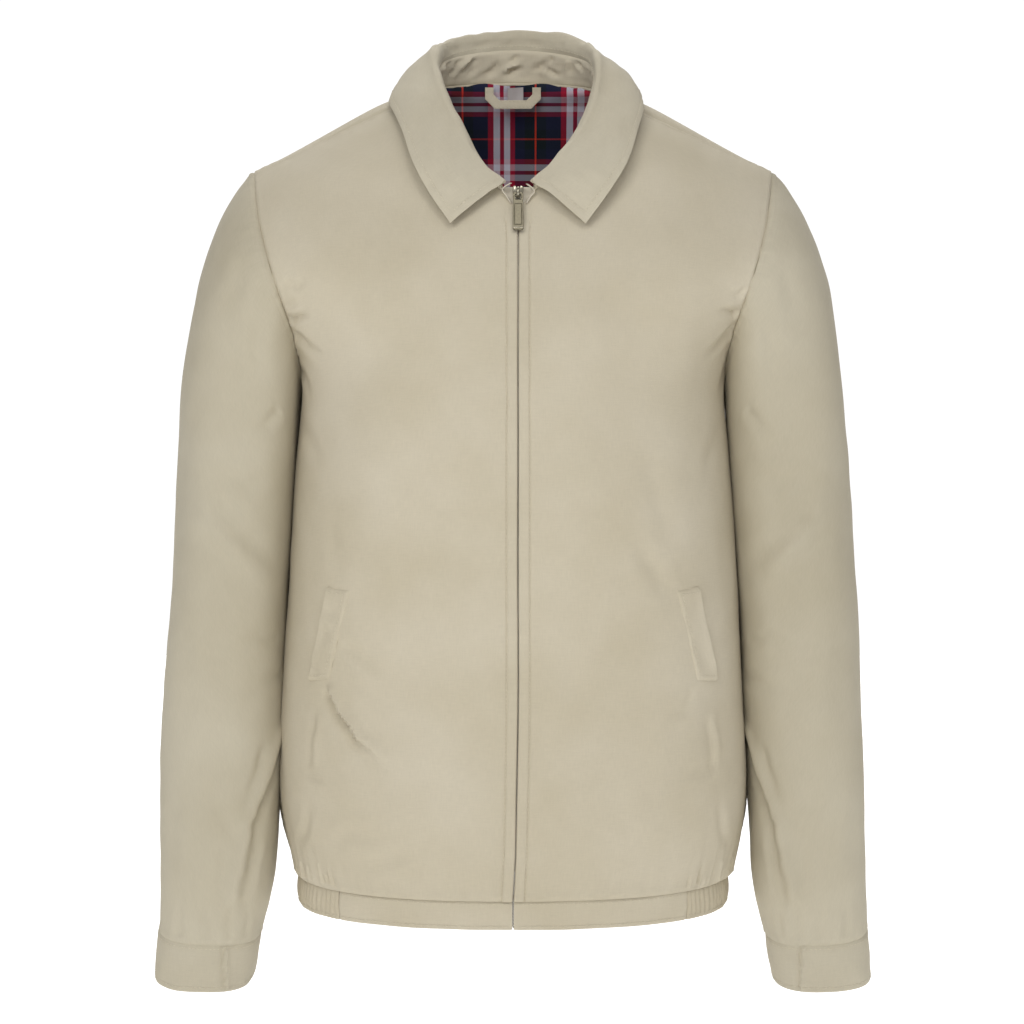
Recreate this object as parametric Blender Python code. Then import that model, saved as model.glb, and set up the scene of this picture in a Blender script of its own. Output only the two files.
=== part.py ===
"""A harrington jacket, zipped up and worn by nobody, so that its cloth keeps the hollow form of a torso.

The frame is in metres with +Z up. The origin lies midway between the two neck points, +X is the
wearer's left, and the front faces -Y. The tables below are in millimetres.
"""

import math
from collections import namedtuple

import bmesh
import bpy
import numpy as np
from mathutils import Vector
from mathutils.bvhtree import BVHTree

MM = 0.001

SHELL_CLOTH = 1.6  # cotton shell with the lining behind it
COLLAR_CLOTH = 2.0
BAND_CLOTH = 2.2
LINING_CLOTH = 1.0
WELT_CLOTH = 1.5
TAPE_CLOTH = 1.0
SEAM_GAP = 0.4
ARMHOLE_GAP = 0.7  # wider, because the walls lean towards each other there
LINING_GAP = 1.4  # from the inner face of the back to the lining
LINING_REACH = 0.85  # share of the last mesh column that the lining keeps at the side seams

BODY_COLUMNS = 8  # mesh columns from the middle of a panel to its side seam
TORSO_ROUNDNESS = 2.3  # exponent of the torso's sections: 2 is an ellipse, more is squarer

# A panel is a stack of rows. Each row is an arc from the inner edge (the zip or the middle of the back,
# then the neckline) to the outer edge (side seam, armhole, shoulder seam). It turns through `sweep`
# degrees, squarer than an ellipse where `square` is over 2, and `rise` lifts its outer half. `steps` mesh
# rows lead to the next row of the table, and `lean` moves the inner edge towards the wearer's left, as
# the closed zip runs.
Row = namedtuple("Row", "name steps inner outer sweep square rise lean")

FRONT_ROWS = (
    Row("hem seam", 2, (1.2, -124, -638.3), (178, -0.3, -638.3), 90, 2.3, 0, 0),
    Row("blouse", 2, (1.2, -130, -600), (188.5, -0.3, -600), 90, 2.3, 0, 2),
    Row("waist", 2, (1.2, -132, -490), (188.4, -0.3, -490), 90, 2.3, 0, 4),
    Row("ribs", 1, (1.2, -137, -380), (182.2, -0.3, -380), 90, 2.3, 0, 4),
    Row("chest", 1, (1.2, -138, -300), (176, -0.3, -300), 90, 2.3, 0, 4),
    Row("armpit", 2, (1.2, -134, -236), (170, -0.3, -240), 90, 2.3, 0, 4),
    Row("under arm", 2, (1.2, -128, -195), (177, -54, -190), 74, 2.1, 0, 4),
    Row("mid arm", 2, (1.2, -119, -155), (189, -77, -150), 62, 2, 0, 4),
    Row("high arm", 1, (1.2, -105, -118), (202, -60, -104), 62, 2, 0, 4),
    Row("zip end", 1, (1.2, -92.5, -92), (206.5, -38, -80), 68, 2, 0, 4),
    Row("shoulder point", 2, (12, -85, -76), (209.5, -15.8, -63), 74, 2, 0, 4),
    Row("mid shoulder", 1, (43, -70, -52), (146, -19.6, -34), 66, 2, 0, 4),
    Row("collar", 2, (54, -59, -39), (125, -18, -24), 64, 2, 0, 3),
    Row("collar side", 2, (66, -38, -17), (97, -15.4, -11.2), 60, 2, 0, 2),
    Row("neck point", 0, (70, -12.4, 1), (70, -12.4, 1), 50, 2, 0, 0),
)
BACK_ROWS = (
    Row("hem seam", 2, (0, 112, -638.3), (178, 0.3, -638.3), 90, 2.3, 0, 0),
    Row("blouse", 2, (0, 120, -600), (188.5, 0.3, -600), 90, 2.3, 0, 0),
    Row("waist", 2, (0, 116, -490), (188.4, 0.3, -490), 90, 2.3, 0, 0),
    Row("ribs", 1, (0, 122, -380), (182.2, 0.3, -380), 90, 2.3, 0, 0),
    Row("chest", 1, (0, 128, -300), (176, 0.3, -300), 90, 2.3, 0, 0),
    Row("armpit", 2, (0, 129, -236), (170, 0.3, -240), 90, 2.3, 0, 0),
    Row("under arm", 2, (0, 127, -190), (178, 54, -190), 74, 2.1, 0, 0),
    Row("mid arm", 2, (0, 122, -140), (191, 74, -146), 64, 2, 0, 0),
    Row("high arm", 1, (0, 112, -92), (204, 58, -100), 66, 2, 0, 0),
    Row("zip end", 1, (0, 102, -60), (208, 30, -76), 74, 2, 2, 0),
    Row("shoulder point", 2, (0, 88, -28), (209.5, -14.6, -63), 82, 2, 5, 0),
    Row("mid shoulder", 1, (0, 64, 9), (146, -18.6, -34), 84, 2, 9, 0),
    Row("collar", 2, (24, 61.5, 8.5), (125, -17.2, -24), 84, 2, 8.5, 0),
    Row("collar side", 2, (58, 36, 5.5), (97, -14.6, -11.2), 84, 2, 6, 0),
    Row("neck point", 0, (70, -11.6, 1), (70, -11.6, 1), 84, 2, 0, 0),
)
SIDE_CORNERS = ("armpit", "shoulder point")  # where the outer edge of a panel turns
FRONT_CORNERS = ("zip end", "shoulder point")  # where the inner edge of a front turns
BACK_CORNERS = ("mid shoulder",)

# A sleeve is a stack of rings, seen from the front as lines from (outer_x, outer_z) to (inner_x, inner_z).
# `own` is the share of the armhole's own outline in the ring, and `dip` lowers the ring's front.
Ring = namedtuple("Ring", "name steps outer_x outer_z inner_x inner_z front_y back_y own dip")

SLEEVE_RINGS = (
    Ring("armhole", 1, 210.3, -62, 170.8, -240, -77, 74, 1.0, 0),
    Ring("cap", 1, 225, -74, 172.2, -243, -77, 75, 0.8, 0),
    Ring("cap", 1, 240, -94, 173.0, -248, -76, 76, 0.55, 0),
    Ring("cap", 1, 250.5, -118, 173.8, -256, -75, 76, 0.3, 0),
    Ring("upper arm", 1, 258, -150, 174.8, -266, -73, 76, 0.12, 0),
    Ring("upper arm", 1, 264, -200, 176.8, -292, -71, 76, 0, 0),
    Ring("upper arm", 2, 271, -275, 180.8, -342, -69, 76, 0, 0),
    Ring("elbow", 2, 279, -380, 185, -405, -66, 74, 0, 0),
    Ring("forearm", 1, 287, -495, 190, -500, -62, 70, 0, 0),
    Ring("forearm", 1, 291, -608, 196, -608, -56, 62, 0, 2),
    Ring("above cuff", 1, 292.5, -650, 199.5, -650, -50, 56, 0, 4),
    Ring("cuff seam", 0, 293.5, -685, 209, -689, -42, 46, 0, 6),
)
CUFF_RINGS = (
    Ring("cuff seam", 1, 293.5, -685.5, 209, -689.5, -42, 46, 0, 6),
    Ring("cuff mouth", 0, 297, -725, 215.5, -727, -40, 44, 0, 6),
)
SLEEVE_ROUNDNESS = 2.2

# The hem band: z, half width, depth to the front and to the back of its middle line.
Band = namedtuple("Band", "z half_width front back")

HEM_BAND = (Band(-638.8, 177.5, 122.5, 111), Band(-650, 178, 121.5, 110), Band(-662, 177, 120, 109))
FRONT_BAND_END = 50  # degrees round from the zip, where the elastic starts
BACK_BAND_END = 128  # degrees, where the elastic ends and the band of the back starts
BAND_STEP_GAP = 0.3  # degrees between two pieces of the band
ZIP_OPENING = 0.25  # degrees from the zip, where the band starts

# The collar's stand is sewn to the neckline of the panels. Its stations run from the zip round to the
# middle of the back, evenly along that neckline: the seam of stand and fall, the roll, and the outer edge
# of the fall. `lean` is as in the panels.
Collar = namedtuple("Collar", "name steps seam roll edge bulge lean")

COLLAR_STATIONS = (
    Collar("zip", 2, (12, -86.5, -72.5), (9, -89.5, -67.5), (53, -108, -102), 4, 4),
    Collar("front", 2, (23, -81, -63), (24, -84, -55), (69, -102, -80), 5, 4.5),
    Collar("mid front", 2, (38, -68, -42), (40, -71, -34), (83, -91, -57), 6, 5.5),
    Collar("side front", 2, (53, -44, -13), (55, -47, -5), (93, -66, -31), 7, 5.5),
    Collar("side", 3, (62, -8, 18), (63, -10, 30), (102, -18, -6), 8, 2.5),
    Collar("side back", 3, (49, 37, 31), (51, 37, 46), (86, 58, -2), 8, 2),
    Collar("back", 0, (0, 57, 37.5), (0, 57, 53), (0, 82, -2), 7, 1.5),
)
ROLL_WIDTH = 7.0  # across the fold of the collar
ROLL_ANGLES = (150, 90, 30)  # degrees of the mesh rows over the fold
UPRIGHT_SHARE = 0.35  # of the height from the seam to the roll that the fall goes straight up
FALL_ROWS = 4
CROWN = 0.8  # how far the fall bows out, as a share of its station's bulge
FALL_LIFT = 0.3
STAND_LIFT, FALL_SEAM_LIFT = 3.5, 2.5  # seam gaps under the stand and under the fall

PIPING_RADIUS = 1.2
PIPING_INSET, PIPING_DROP = 1.5, 0.2  # from the neckline to the cord
# The hanger loop and the label hang at `y` inside the back of the neck. The loop's inner corners are cut
# by a share of the outer ones' chamfer.
LOOP = {"half_width": 23.0, "drop": 17.5, "strap": 7.0, "thick": 1.2, "chamfer": 8.0, "top_z": 6.6, "y": 55.0}
INNER_CHAMFER = 0.6
LABEL = {"width": 13.0, "height": 11.0, "thick": 0.6, "x": 2.0, "top_z": 6.0, "y": 57.3}

# Corners of a pocket welt on the front: x and z.
WELT = {
    "top_inner": (129, -391), "top_outer": (146.5, -390), "low_outer": (163, -468), "low_inner": (147, -465),
}
WELT_CELLS = (4, 8)
WELT_LIFT = 0.6  # from the face of the front to the back of the welt

TAPE_INNER, TAPE_OUTER = 3.4, 15.0  # from the zip's middle
CHAIN_HALF_WIDTH, CHAIN_THICK = 2.8, 2.0
TAPE_TOP, CHAIN_TOP, ZIP_BOTTOM = -74.0, -84.5, -661.0
ZIP_ROWS = 16
TAPE_SLOPE = 0.06
ZIP_BEHIND = 2.3  # from the face of the fronts back to the zip
BAND_BEHIND = 4.8  # farther back, behind the hem band

SLIDER = {"width": 8.6, "height": 10.0, "depth": 5.5, "x": 4.0, "y": -88.6, "z": -78.0}
SLIDER_FOOT = 0.8  # its width at the foot, as a share
SLIDER_EDGE = 0.9
SQUARENESS = 4.5  # exponent of the outlines of the bail and the pull
BAIL = {"height": 8.0, "reach": 5.4, "wire": 1.5, "thick": 2.2}
PULL = {"width": 8.6, "length": 31.5, "thick": 1.4, "eye_width": 5.4, "eye_height": 5.2, "bar": 1.1}
PULL_AXIS = (4.0, -94.2, -78.4)
PULL_REST_ANGLE = 21.0  # degrees forward of plumb, lying on the chest below

COTTON = {"colour": (0.557, 0.499, 0.392), "roughness": 0.85, "metallic": 0.0}
ELASTIC = {"colour": (0.49, 0.43, 0.33), "roughness": 0.9, "metallic": 0.0}
PLAID = {"colour": (0.02, 0.024, 0.045), "roughness": 0.9, "metallic": 0.0}
TAPE = {"colour": (0.62, 0.57, 0.46), "roughness": 0.9, "metallic": 0.0}
LABEL_CLOTH = {"colour": (0.42, 0.38, 0.36), "roughness": 0.7, "metallic": 0.0}
GUNMETAL = {"colour": (0.16, 0.145, 0.11), "roughness": 0.38, "metallic": 1.0}


def clear_scene():
    for obj in list(bpy.data.objects):
        bpy.data.objects.remove(obj, do_unlink=True)


def through(points, steps):
    """Points of a smooth curve through `points`, with steps[i] pieces between point i and the next."""
    points = np.array(points, float)
    length = np.maximum(np.linalg.norm(np.diff(points, axis=0), axis=1), 1e-9)
    slope = np.diff(points, axis=0) / length[:, None]
    tangent = np.concatenate([slope[:1], slope])
    share = (length[1:] / (length[1:] + length[:-1]))[:, None]
    tangent[1:-1] = slope[:-1] * share + slope[1:] * (1 - share)
    curve = []
    for i, count in enumerate(steps):
        for t in np.arange(count) / count:
            start = points[i] * (2 * t**3 - 3 * t**2 + 1) + tangent[i] * length[i] * (t**3 - 2 * t**2 + t)
            end = points[i + 1] * (3 * t**2 - 2 * t**3) + tangent[i + 1] * length[i] * (t**3 - t**2)
            curve.append(start + end)
    curve.append(points[-1])
    return np.array(curve)


def edge_of(rows, points, corners):
    """The curve through a table's points, broken at the named corners."""
    breaks = [0] + [i for i, row in enumerate(rows) if row.name in corners] + [len(rows) - 1]
    pieces = []
    for first, last in zip(breaks, breaks[1:]):
        piece = through(points[first : last + 1], [row.steps for row in rows[first:last]])
        pieces.append(piece if last == breaks[-1] else piece[:-1])
    return np.concatenate(pieces)


def column(rows, name):
    """A number of the table at every mesh row, smoothed between its rows."""
    spread = 50.0
    points = [(spread * i, getattr(row, name)) for i, row in enumerate(rows)]
    return through(points, [row.steps for row in rows[:-1]])[:, 1]


def signed_power(value, power):
    return np.sign(value) * np.abs(value) ** power


def panel_grid(rows, inner_corners, side):
    """The outer face of one panel, as mesh rows by columns by xyz. Side is 1 on the wearer's left."""
    inner = edge_of(rows, [row.inner for row in rows], inner_corners)
    outer = edge_of(rows, [row.outer for row in rows], SIDE_CORNERS)
    inner[:, 0] = side * inner[:, 0] + column(rows, "lean")
    outer[:, 0] *= side
    sweep, rise = np.radians(column(rows, "sweep")), column(rows, "rise")
    power = 2 / column(rows, "square")
    grid = np.empty((len(inner), BODY_COLUMNS + 1, 3))
    for j in range(BODY_COLUMNS + 1):
        share = j / BODY_COLUMNS
        turn = share * sweep
        along = signed_power(np.sin(turn), power) / signed_power(np.sin(sweep), power)
        deep = (1 - signed_power(np.cos(turn), power)) / (1 - signed_power(np.cos(sweep), power))
        for axis, way in enumerate((along, deep, along)):
            grid[:, j, axis] = inner[:, axis] + (outer[:, axis] - inner[:, axis]) * way
        grid[:, j, 2] += rise * math.sin(math.pi * share**2)
    return grid


def grid_faces(rows, columns, closed=False, first=0):
    """Quads of a grid of points in reading order, whose last column may meet the first one."""
    across = columns if closed else columns - 1
    return [
        tuple(
            first + a * columns + b % columns for a, b in ((i, j), (i, j + 1), (i + 1, j + 1), (i + 1, j))
        )
        for i in range(rows - 1)
        for j in range(across)
    ]


def material(name, finish):
    made = bpy.data.materials.new(name)
    made.use_nodes = True
    shader = made.node_tree.nodes["Principled BSDF"]
    shader.inputs["Base Color"].default_value = (*finish["colour"], 1)
    shader.inputs["Roughness"].default_value = finish["roughness"]
    shader.inputs["Metallic"].default_value = finish["metallic"]
    return made


def sheet(name, points, faces, finish, thick, flip=False):
    """A wall whose outer face is the given sheet of points in millimetres."""
    mesh = bpy.data.meshes.new(name)
    built = bmesh.new()
    corners = [built.verts.new(Vector(point) * MM) for point in points]
    for face in faces:
        built.faces.new([corners[i] for i in (reversed(face) if flip else face)])
    bmesh.ops.remove_doubles(built, verts=built.verts, dist=0.01 * MM)
    bmesh.ops.dissolve_degenerate(built, edges=built.edges, dist=0.01 * MM)
    built.to_mesh(mesh)
    built.free()
    mesh.shade_smooth()
    mesh.set_sharp_from_angle(angle=math.radians(40))
    obj = bpy.data.objects.new(name, mesh)
    bpy.context.scene.collection.objects.link(obj)
    obj.data.materials.append(material(name, finish))
    wall = obj.modifiers.new("thickness", "SOLIDIFY")
    wall.thickness = thick * MM
    wall.offset = -1
    return obj


def grid_sheet(name, grid, finish, thick, flip=False, closed=False):
    rows, columns = grid.shape[:2]
    return sheet(name, grid.reshape(-1, 3), grid_faces(rows, columns, closed), finish, thick, flip)


def grid_normals(grid):
    """Unit normals of a grid, pointing as the cross product of its columns and rows does."""
    across, up = np.gradient(grid, axis=1), np.gradient(grid, axis=0)
    normal = np.cross(across, up)
    length = np.linalg.norm(normal, axis=2, keepdims=True)
    normal /= np.maximum(length, 1e-9)
    normal[-1] = normal[-2]
    return normal


def build_fronts():
    grids = {}
    for side, label in ((1, "left"), (-1, "right")):
        grid = panel_grid(FRONT_ROWS, FRONT_CORNERS, side)
        grid_sheet(f"front_{label}", grid, COTTON, SHELL_CLOTH, flip=side < 0)
        grids[side] = grid
    return grids


def both_halves(grid):
    """The points and faces of a half and its mirror image, which meet in the middle."""
    rows, columns = grid.shape[:2]
    mirrored = grid * (-1, 1, 1)
    faces = grid_faces(rows, columns)
    others = [tuple(reversed(face)) for face in grid_faces(rows, columns, first=rows * columns)]
    return np.concatenate([grid.reshape(-1, 3), mirrored.reshape(-1, 3)]), faces + others


def build_back():
    grid = panel_grid(BACK_ROWS, BACK_CORNERS, 1)
    points, faces = both_halves(grid)
    sheet("back", points, faces, COTTON, SHELL_CLOTH, flip=True)
    deep = SHELL_CLOTH + LINING_GAP
    lining = grid + grid_normals(grid) * deep
    lining[:, 0, 0] = np.where(grid[:, 0, 0] == 0, 0, lining[:, 0, 0])
    lining[:, -1] = lining[:, -2] * (1 - LINING_REACH) + lining[:, -1] * LINING_REACH
    points, faces = both_halves(lining[1:-1])
    sheet("back_lining", points, faces, PLAID, LINING_CLOTH, flip=True)
    return grid


def ring_points(ring, count, armhole):
    """One ring of a sleeve, from its outer point round by the front."""
    top = np.array((ring.outer_x, 0, ring.outer_z))
    low = np.array((ring.inner_x, 0, ring.inner_z))
    points = []
    for k in range(count):
        turn = 2 * math.pi * k / count
        reach = signed_power(math.cos(turn), 2 / SLEEVE_ROUNDNESS)
        depth = signed_power(math.sin(turn), 2 / SLEEVE_ROUNDNESS)
        point = (top + low) / 2 + (top - low) / 2 * reach
        point[1] = ring.front_y * depth if depth > 0 else -ring.back_y * depth
        point[2] -= ring.dip * depth
        points.append(point)
    return np.array(points) * (1 - ring.own) + armhole * ring.own


def smooth_rings(rings):
    """The table's rings with the ones between them."""
    numbers = [tuple(ring)[2:] for ring in rings]
    steps = [ring.steps for ring in rings[:-1]]
    return [Ring("between", 1, *row) for row in through(numbers, steps)]


def armhole_loop(front, back):
    """The edge of the armhole, from the shoulder point down the front to the armpit and up the back."""
    steps = [row.steps for row in FRONT_ROWS]
    names = [row.name for row in FRONT_ROWS]
    low = sum(steps[: names.index("armpit")])
    high = sum(steps[: names.index("shoulder point")])
    down = front[low : high + 1, -1][::-1]
    up = back[low : high + 1, -1]
    shoulder, armpit = (down[0] + up[-1]) / 2, (down[-1] + up[0]) / 2
    return np.concatenate([[shoulder], down[1:-1], [armpit], up[1:-1]])


def build_sleeves(fronts, back):
    mirror = np.array((-1, 1, 1))
    for side, label in ((1, "left"), (-1, "right")):
        front = fronts[side] if side > 0 else fronts[side] * mirror
        armhole = armhole_loop(front, back) + (ARMHOLE_GAP, 0, 0)
        count = len(armhole)
        rings = np.array([ring_points(ring, count, armhole) for ring in smooth_rings(SLEEVE_RINGS)])
        cuff = np.array([ring_points(ring, count, armhole) for ring in CUFF_RINGS])
        for name, grid, finish, thick in (
            (f"sleeve_{label}", rings, COTTON, SHELL_CLOTH),
            (f"cuff_{label}", cuff, COTTON, BAND_CLOTH),
        ):
            placed = grid if side > 0 else grid * mirror
            grid_sheet(name, placed, finish, thick, flip=side < 0, closed=True)


def band_point(row, degrees, side):
    """A point of the hem band, `degrees` round from the zip towards the back."""
    turn = math.radians(degrees)
    power = 2 / TORSO_ROUNDNESS
    forward = signed_power(math.cos(turn), power)
    depth = row.front if forward > 0 else row.back
    return (side * row.half_width * signed_power(math.sin(turn), power), -depth * forward, row.z)


def band_sheet(name, start, end, side, cells, finish, thick):
    angles = np.linspace(start, end, cells + 1)
    grid = np.array([[band_point(row, angle, side) for angle in angles] for row in HEM_BAND])
    grid_sheet(name, grid, finish, thick, flip=side > 0)


def build_hem():
    for side, label in ((1, "left"), (-1, "right")):
        end = FRONT_BAND_END - BAND_STEP_GAP
        band_sheet(f"hem_front_{label}", ZIP_OPENING, end, side, 7, COTTON, BAND_CLOTH)
        band_sheet(f"hem_elastic_{label}", FRONT_BAND_END, BACK_BAND_END, side, 10, ELASTIC, BAND_CLOTH)
    start = BACK_BAND_END + BAND_STEP_GAP
    band_sheet("hem_back", start, 360 - start, 1, 12, COTTON, BAND_CLOTH)


def collar_line(name):
    """One line of the whole collar, from the zip on the wearer's left round the back to the right."""
    steps = [station.steps for station in COLLAR_STATIONS[:-1]]
    half = [np.array(getattr(station, name)) for station in COLLAR_STATIONS]
    leans = [(station.lean, 0, 0) for station in COLLAR_STATIONS]
    left = [point + lean for point, lean in zip(half, leans)]
    right = [point * (-1, 1, 1) + lean for point, lean in zip(half, leans)]
    return through(left + right[-2::-1], steps + steps[::-1])


def collar_bulge():
    half = column(COLLAR_STATIONS, "bulge")
    return np.concatenate([half, half[-2::-1]])[:, None]


def outward(line):
    """Level unit vectors that point away from the neck, square to the line."""
    along = np.gradient(line, axis=0)
    out = np.stack([along[:, 1], -along[:, 0], np.zeros(len(line))], axis=1)
    return out / np.linalg.norm(out, axis=1, keepdims=True)


def neckline(front, back):
    """Half of the panels' neck edge, from the zip to the middle of the back, at even stations."""
    names, steps = [row.name for row in FRONT_ROWS], [row.steps for row in FRONT_ROWS]
    first = sum(steps[: names.index("shoulder point")])
    last = sum(steps[: names.index("mid shoulder")])
    edge = np.concatenate([front[first:, 0], back[last:-1, 0][::-1]])
    far = np.concatenate([[0], np.cumsum(np.linalg.norm(np.diff(edge, axis=0), axis=1))])
    count = sum(station.steps for station in COLLAR_STATIONS)
    even = np.linspace(0, far[-1], count + 1)
    return np.stack([np.interp(even, far, edge[:, axis]) for axis in range(3)], axis=1)


def build_collar(fronts, back):
    right_half = neckline(fronts[-1], back * (-1, 1, 1))
    neck = np.concatenate([neckline(fronts[1], back), right_half[-2::-1]])
    seam, roll, edge = (collar_line(name) for name in ("seam", "roll", "edge"))
    bulge = collar_bulge()
    out = outward(neck)
    lift = np.array((0, 0, SEAM_GAP))
    tall = np.clip((seam - neck)[:, 2:] - 1.5, 0.5, 6) * (0, 0, 1)
    middle, top = (neck + seam) / 2 + lift / 2, seam - lift / 2
    stand = np.array([neck + lift * STAND_LIFT, middle, seam - tall / 2, top])
    grid_sheet("collar_stand", stand, COTTON, COLLAR_CLOTH, flip=True)
    upright = (roll - seam)[:, 2:] * UPRIGHT_SHARE * (0, 0, 1)
    fold = [seam + lift * FALL_SEAM_LIFT, seam + lift * FALL_SEAM_LIFT + upright]
    for degrees in ROLL_ANGLES:
        turn = math.radians(degrees)
        half = ROLL_WIDTH / 2
        up = np.array((0, 0, half * math.sin(turn)))
        fold.append(roll + out * (half + half * math.cos(turn)) + up - (0, 0, half))
    start = fold[-1]
    for i in range(1, FALL_ROWS + 1):
        share = i / FALL_ROWS
        crown = bulge * math.sin(math.pi * share) * CROWN
        fold.append(start + (edge - start) * share + out * crown + (0, 0, FALL_LIFT))
    grid_sheet("collar_fall", np.array(fold), COTTON, COLLAR_CLOTH, flip=True)
    return neck


def tube(name, points, radius, finish):
    data = bpy.data.curves.new(name, "CURVE")
    data.dimensions = "3D"
    spline = data.splines.new("POLY")
    spline.points.add(len(points) - 1)
    for knot, point in zip(spline.points, points):
        knot.co = (*(Vector(point) * MM), 1)
    data.bevel_depth = radius * MM
    data.bevel_resolution = 1
    data.use_fill_caps = True
    data.materials.append(material(name, finish))
    obj = bpy.data.objects.new(name, data)
    bpy.context.scene.collection.objects.link(obj)
    return obj


def build_neck_trim(neck):
    out = outward(neck)
    first = sum(station.steps for station in COLLAR_STATIONS[:4])
    last = len(neck) - first
    inside = neck - out * (PIPING_RADIUS + PIPING_INSET) - (0, 0, PIPING_DROP)
    tube("neck_piping", inside[first:last], PIPING_RADIUS, COTTON)


def flat_sheet(name, outline_grid, y, finish, thick):
    grid = np.array([[(x, y, z) for x, z in row] for row in outline_grid])
    return grid_sheet(name, grid, finish, thick)


def build_loop_and_label():
    """The hanger loop: a strap that runs down, across and up again, inside the back of the neck."""
    half, drop, strap = LOOP["half_width"], LOOP["drop"], LOOP["strap"]
    chamfer, top = LOOP["chamfer"], LOOP["top_z"]
    outer = ((-half, top), (-half, top - drop + chamfer), (-half + chamfer, top - drop))
    inner_half, inner_drop, inner_chamfer = half - strap, drop - strap, chamfer * INNER_CHAMFER
    inner = (
        (-inner_half, top),
        (-inner_half, top - inner_drop + inner_chamfer),
        (-inner_half + inner_chamfer, top - inner_drop),
    )
    outer += tuple((-x, z) for x, z in reversed(outer))
    inner += tuple((-x, z) for x, z in reversed(inner))
    flat_sheet("hanger_loop", (outer, inner), LOOP["y"], COTTON, LOOP["thick"])
    half, x, top = LABEL["width"] / 2, LABEL["x"], LABEL["top_z"]
    low = top - LABEL["height"]
    flat_sheet(
        "neck_label", (((x - half, top), (x + half, top)), ((x - half, low), (x + half, low))),
        LABEL["y"], LABEL_CLOTH, LABEL["thick"],
    )


def tree_of(grid):
    rows, columns = grid.shape[:2]
    return BVHTree.FromPolygons([Vector(p) for p in grid.reshape(-1, 3)], grid_faces(rows, columns))


def build_welts(fronts):
    across, down = WELT_CELLS
    for side, label in ((1, "left"), (-1, "right")):
        tree = tree_of(fronts[side])
        grid = np.empty((down + 1, across + 1, 3))
        corners = {name: np.array(place) for name, place in WELT.items()}
        for i in range(down + 1):
            for j in range(across + 1):
                u, v = j / across, i / down
                high = corners["top_inner"] * (1 - u) + corners["top_outer"] * u
                low = corners["low_inner"] * (1 - u) + corners["low_outer"] * u
                x, z = high * (1 - v) + low * v
                hit, normal, _, _ = tree.ray_cast(Vector((side * x, -500, z)), Vector((0, 1, 0)))
                if normal.y > 0:
                    normal = -normal
                grid[i, j] = hit + normal * (WELT_CLOTH + WELT_LIFT)
        grid_sheet(f"pocket_welt_{label}", grid, COTTON, WELT_CLOTH, flip=side > 0)


def zip_line(z):
    """x and y of the zip's middle on the face of the closed fronts, at height z."""
    last = [row.name for row in FRONT_ROWS].index("shoulder point")
    rows = FRONT_ROWS[: last + 1]
    edge = through([row.inner for row in rows], [row.steps for row in rows[:-1]])
    lean = column(FRONT_ROWS, "lean")[: len(edge)]
    return np.interp(z, edge[:, 2], lean), np.interp(z, edge[:, 2], edge[:, 1])


def zip_places(top):
    """Heights of the zip's mesh rows, and how far behind the face of the fronts it lies at each."""
    clear_of_band = HEM_BAND[0].z + 3  # the tapes turn in just above the band
    heights = np.append(ZIP_BOTTOM, np.linspace(clear_of_band, top, ZIP_ROWS))
    behind = np.full(len(heights), ZIP_BEHIND)
    behind[:2] += BAND_BEHIND
    return zip(heights, behind)


def build_zip():
    for side, label in ((1, "left"), (-1, "right")):
        grid = []
        for z, behind in zip_places(TAPE_TOP):
            x, y = zip_line(z)
            y += behind
            grid.append([(x + side * far, y + far * TAPE_SLOPE, z) for far in (TAPE_INNER, TAPE_OUTER)])
        grid_sheet(f"zip_tape_{label}", np.array(grid), TAPE, TAPE_CLOTH, flip=side < 0)
    grid = []
    for z, behind in zip_places(CHAIN_TOP):
        x, y = zip_line(z)
        y += behind
        grid.append([(x + side * CHAIN_HALF_WIDTH, y, z) for side in (-1, 1)])
    grid_sheet("zip_chain", np.array(grid), TAPE, CHAIN_THICK)


def rounded_loop(width, height, centre, count):
    """A loop of (across, up) points around a rectangle with round corners."""
    power = 2 / SQUARENESS
    return [
        (
            centre[0] + width / 2 * signed_power(math.cos(2 * math.pi * k / count), power),
            centre[1] + height / 2 * signed_power(math.sin(2 * math.pi * k / count), power),
        )
        for k in range(count)
    ]


def build_slider():
    width, height, depth = SLIDER["width"], SLIDER["height"], SLIDER["depth"]
    middle = Vector((SLIDER["x"], SLIDER["y"], SLIDER["z"]))
    mesh = bpy.data.meshes.new("zip_slider")
    built = bmesh.new()
    bmesh.ops.create_cube(built, size=1)
    for vert in built.verts:
        narrow = SLIDER_FOOT if vert.co.z < 0 else 1.0
        vert.co = Vector((vert.co.x * width * narrow, vert.co.y * depth, vert.co.z * height)) * MM
    bmesh.ops.bevel(built, geom=built.edges, offset=SLIDER_EDGE * MM, segments=2, affect="EDGES", profile=0.5)
    built.to_mesh(mesh)
    built.free()
    slider = bpy.data.objects.new("zip_slider", mesh)
    bpy.context.scene.collection.objects.link(slider)
    slider.location = middle * MM
    mesh.materials.append(material("zip_slider", GUNMETAL))
    # The bail is an upright loop on the slider's face, which the pull's bar passes through.
    wire, reach, face = BAIL["wire"], BAIL["reach"], SLIDER["y"] - depth / 2
    centre = (face - reach / 2 + wire, SLIDER["z"])
    outer = rounded_loop(reach + 2 * wire, BAIL["height"], centre, 16)
    inner = rounded_loop(reach, BAIL["height"] - 2 * wire, centre, 16)
    x = SLIDER["x"] + BAIL["thick"] / 2
    grid = np.array([[(x, y, z) for y, z in loop] for loop in (outer, inner)])
    bail = grid_sheet("bail", grid, GUNMETAL, BAIL["thick"], closed=True)
    bail.hide_render, bail.display_type = True, "WIRE"
    join = slider.modifiers.new("bail", "BOOLEAN")
    join.operation, join.object = "UNION", bail


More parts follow.
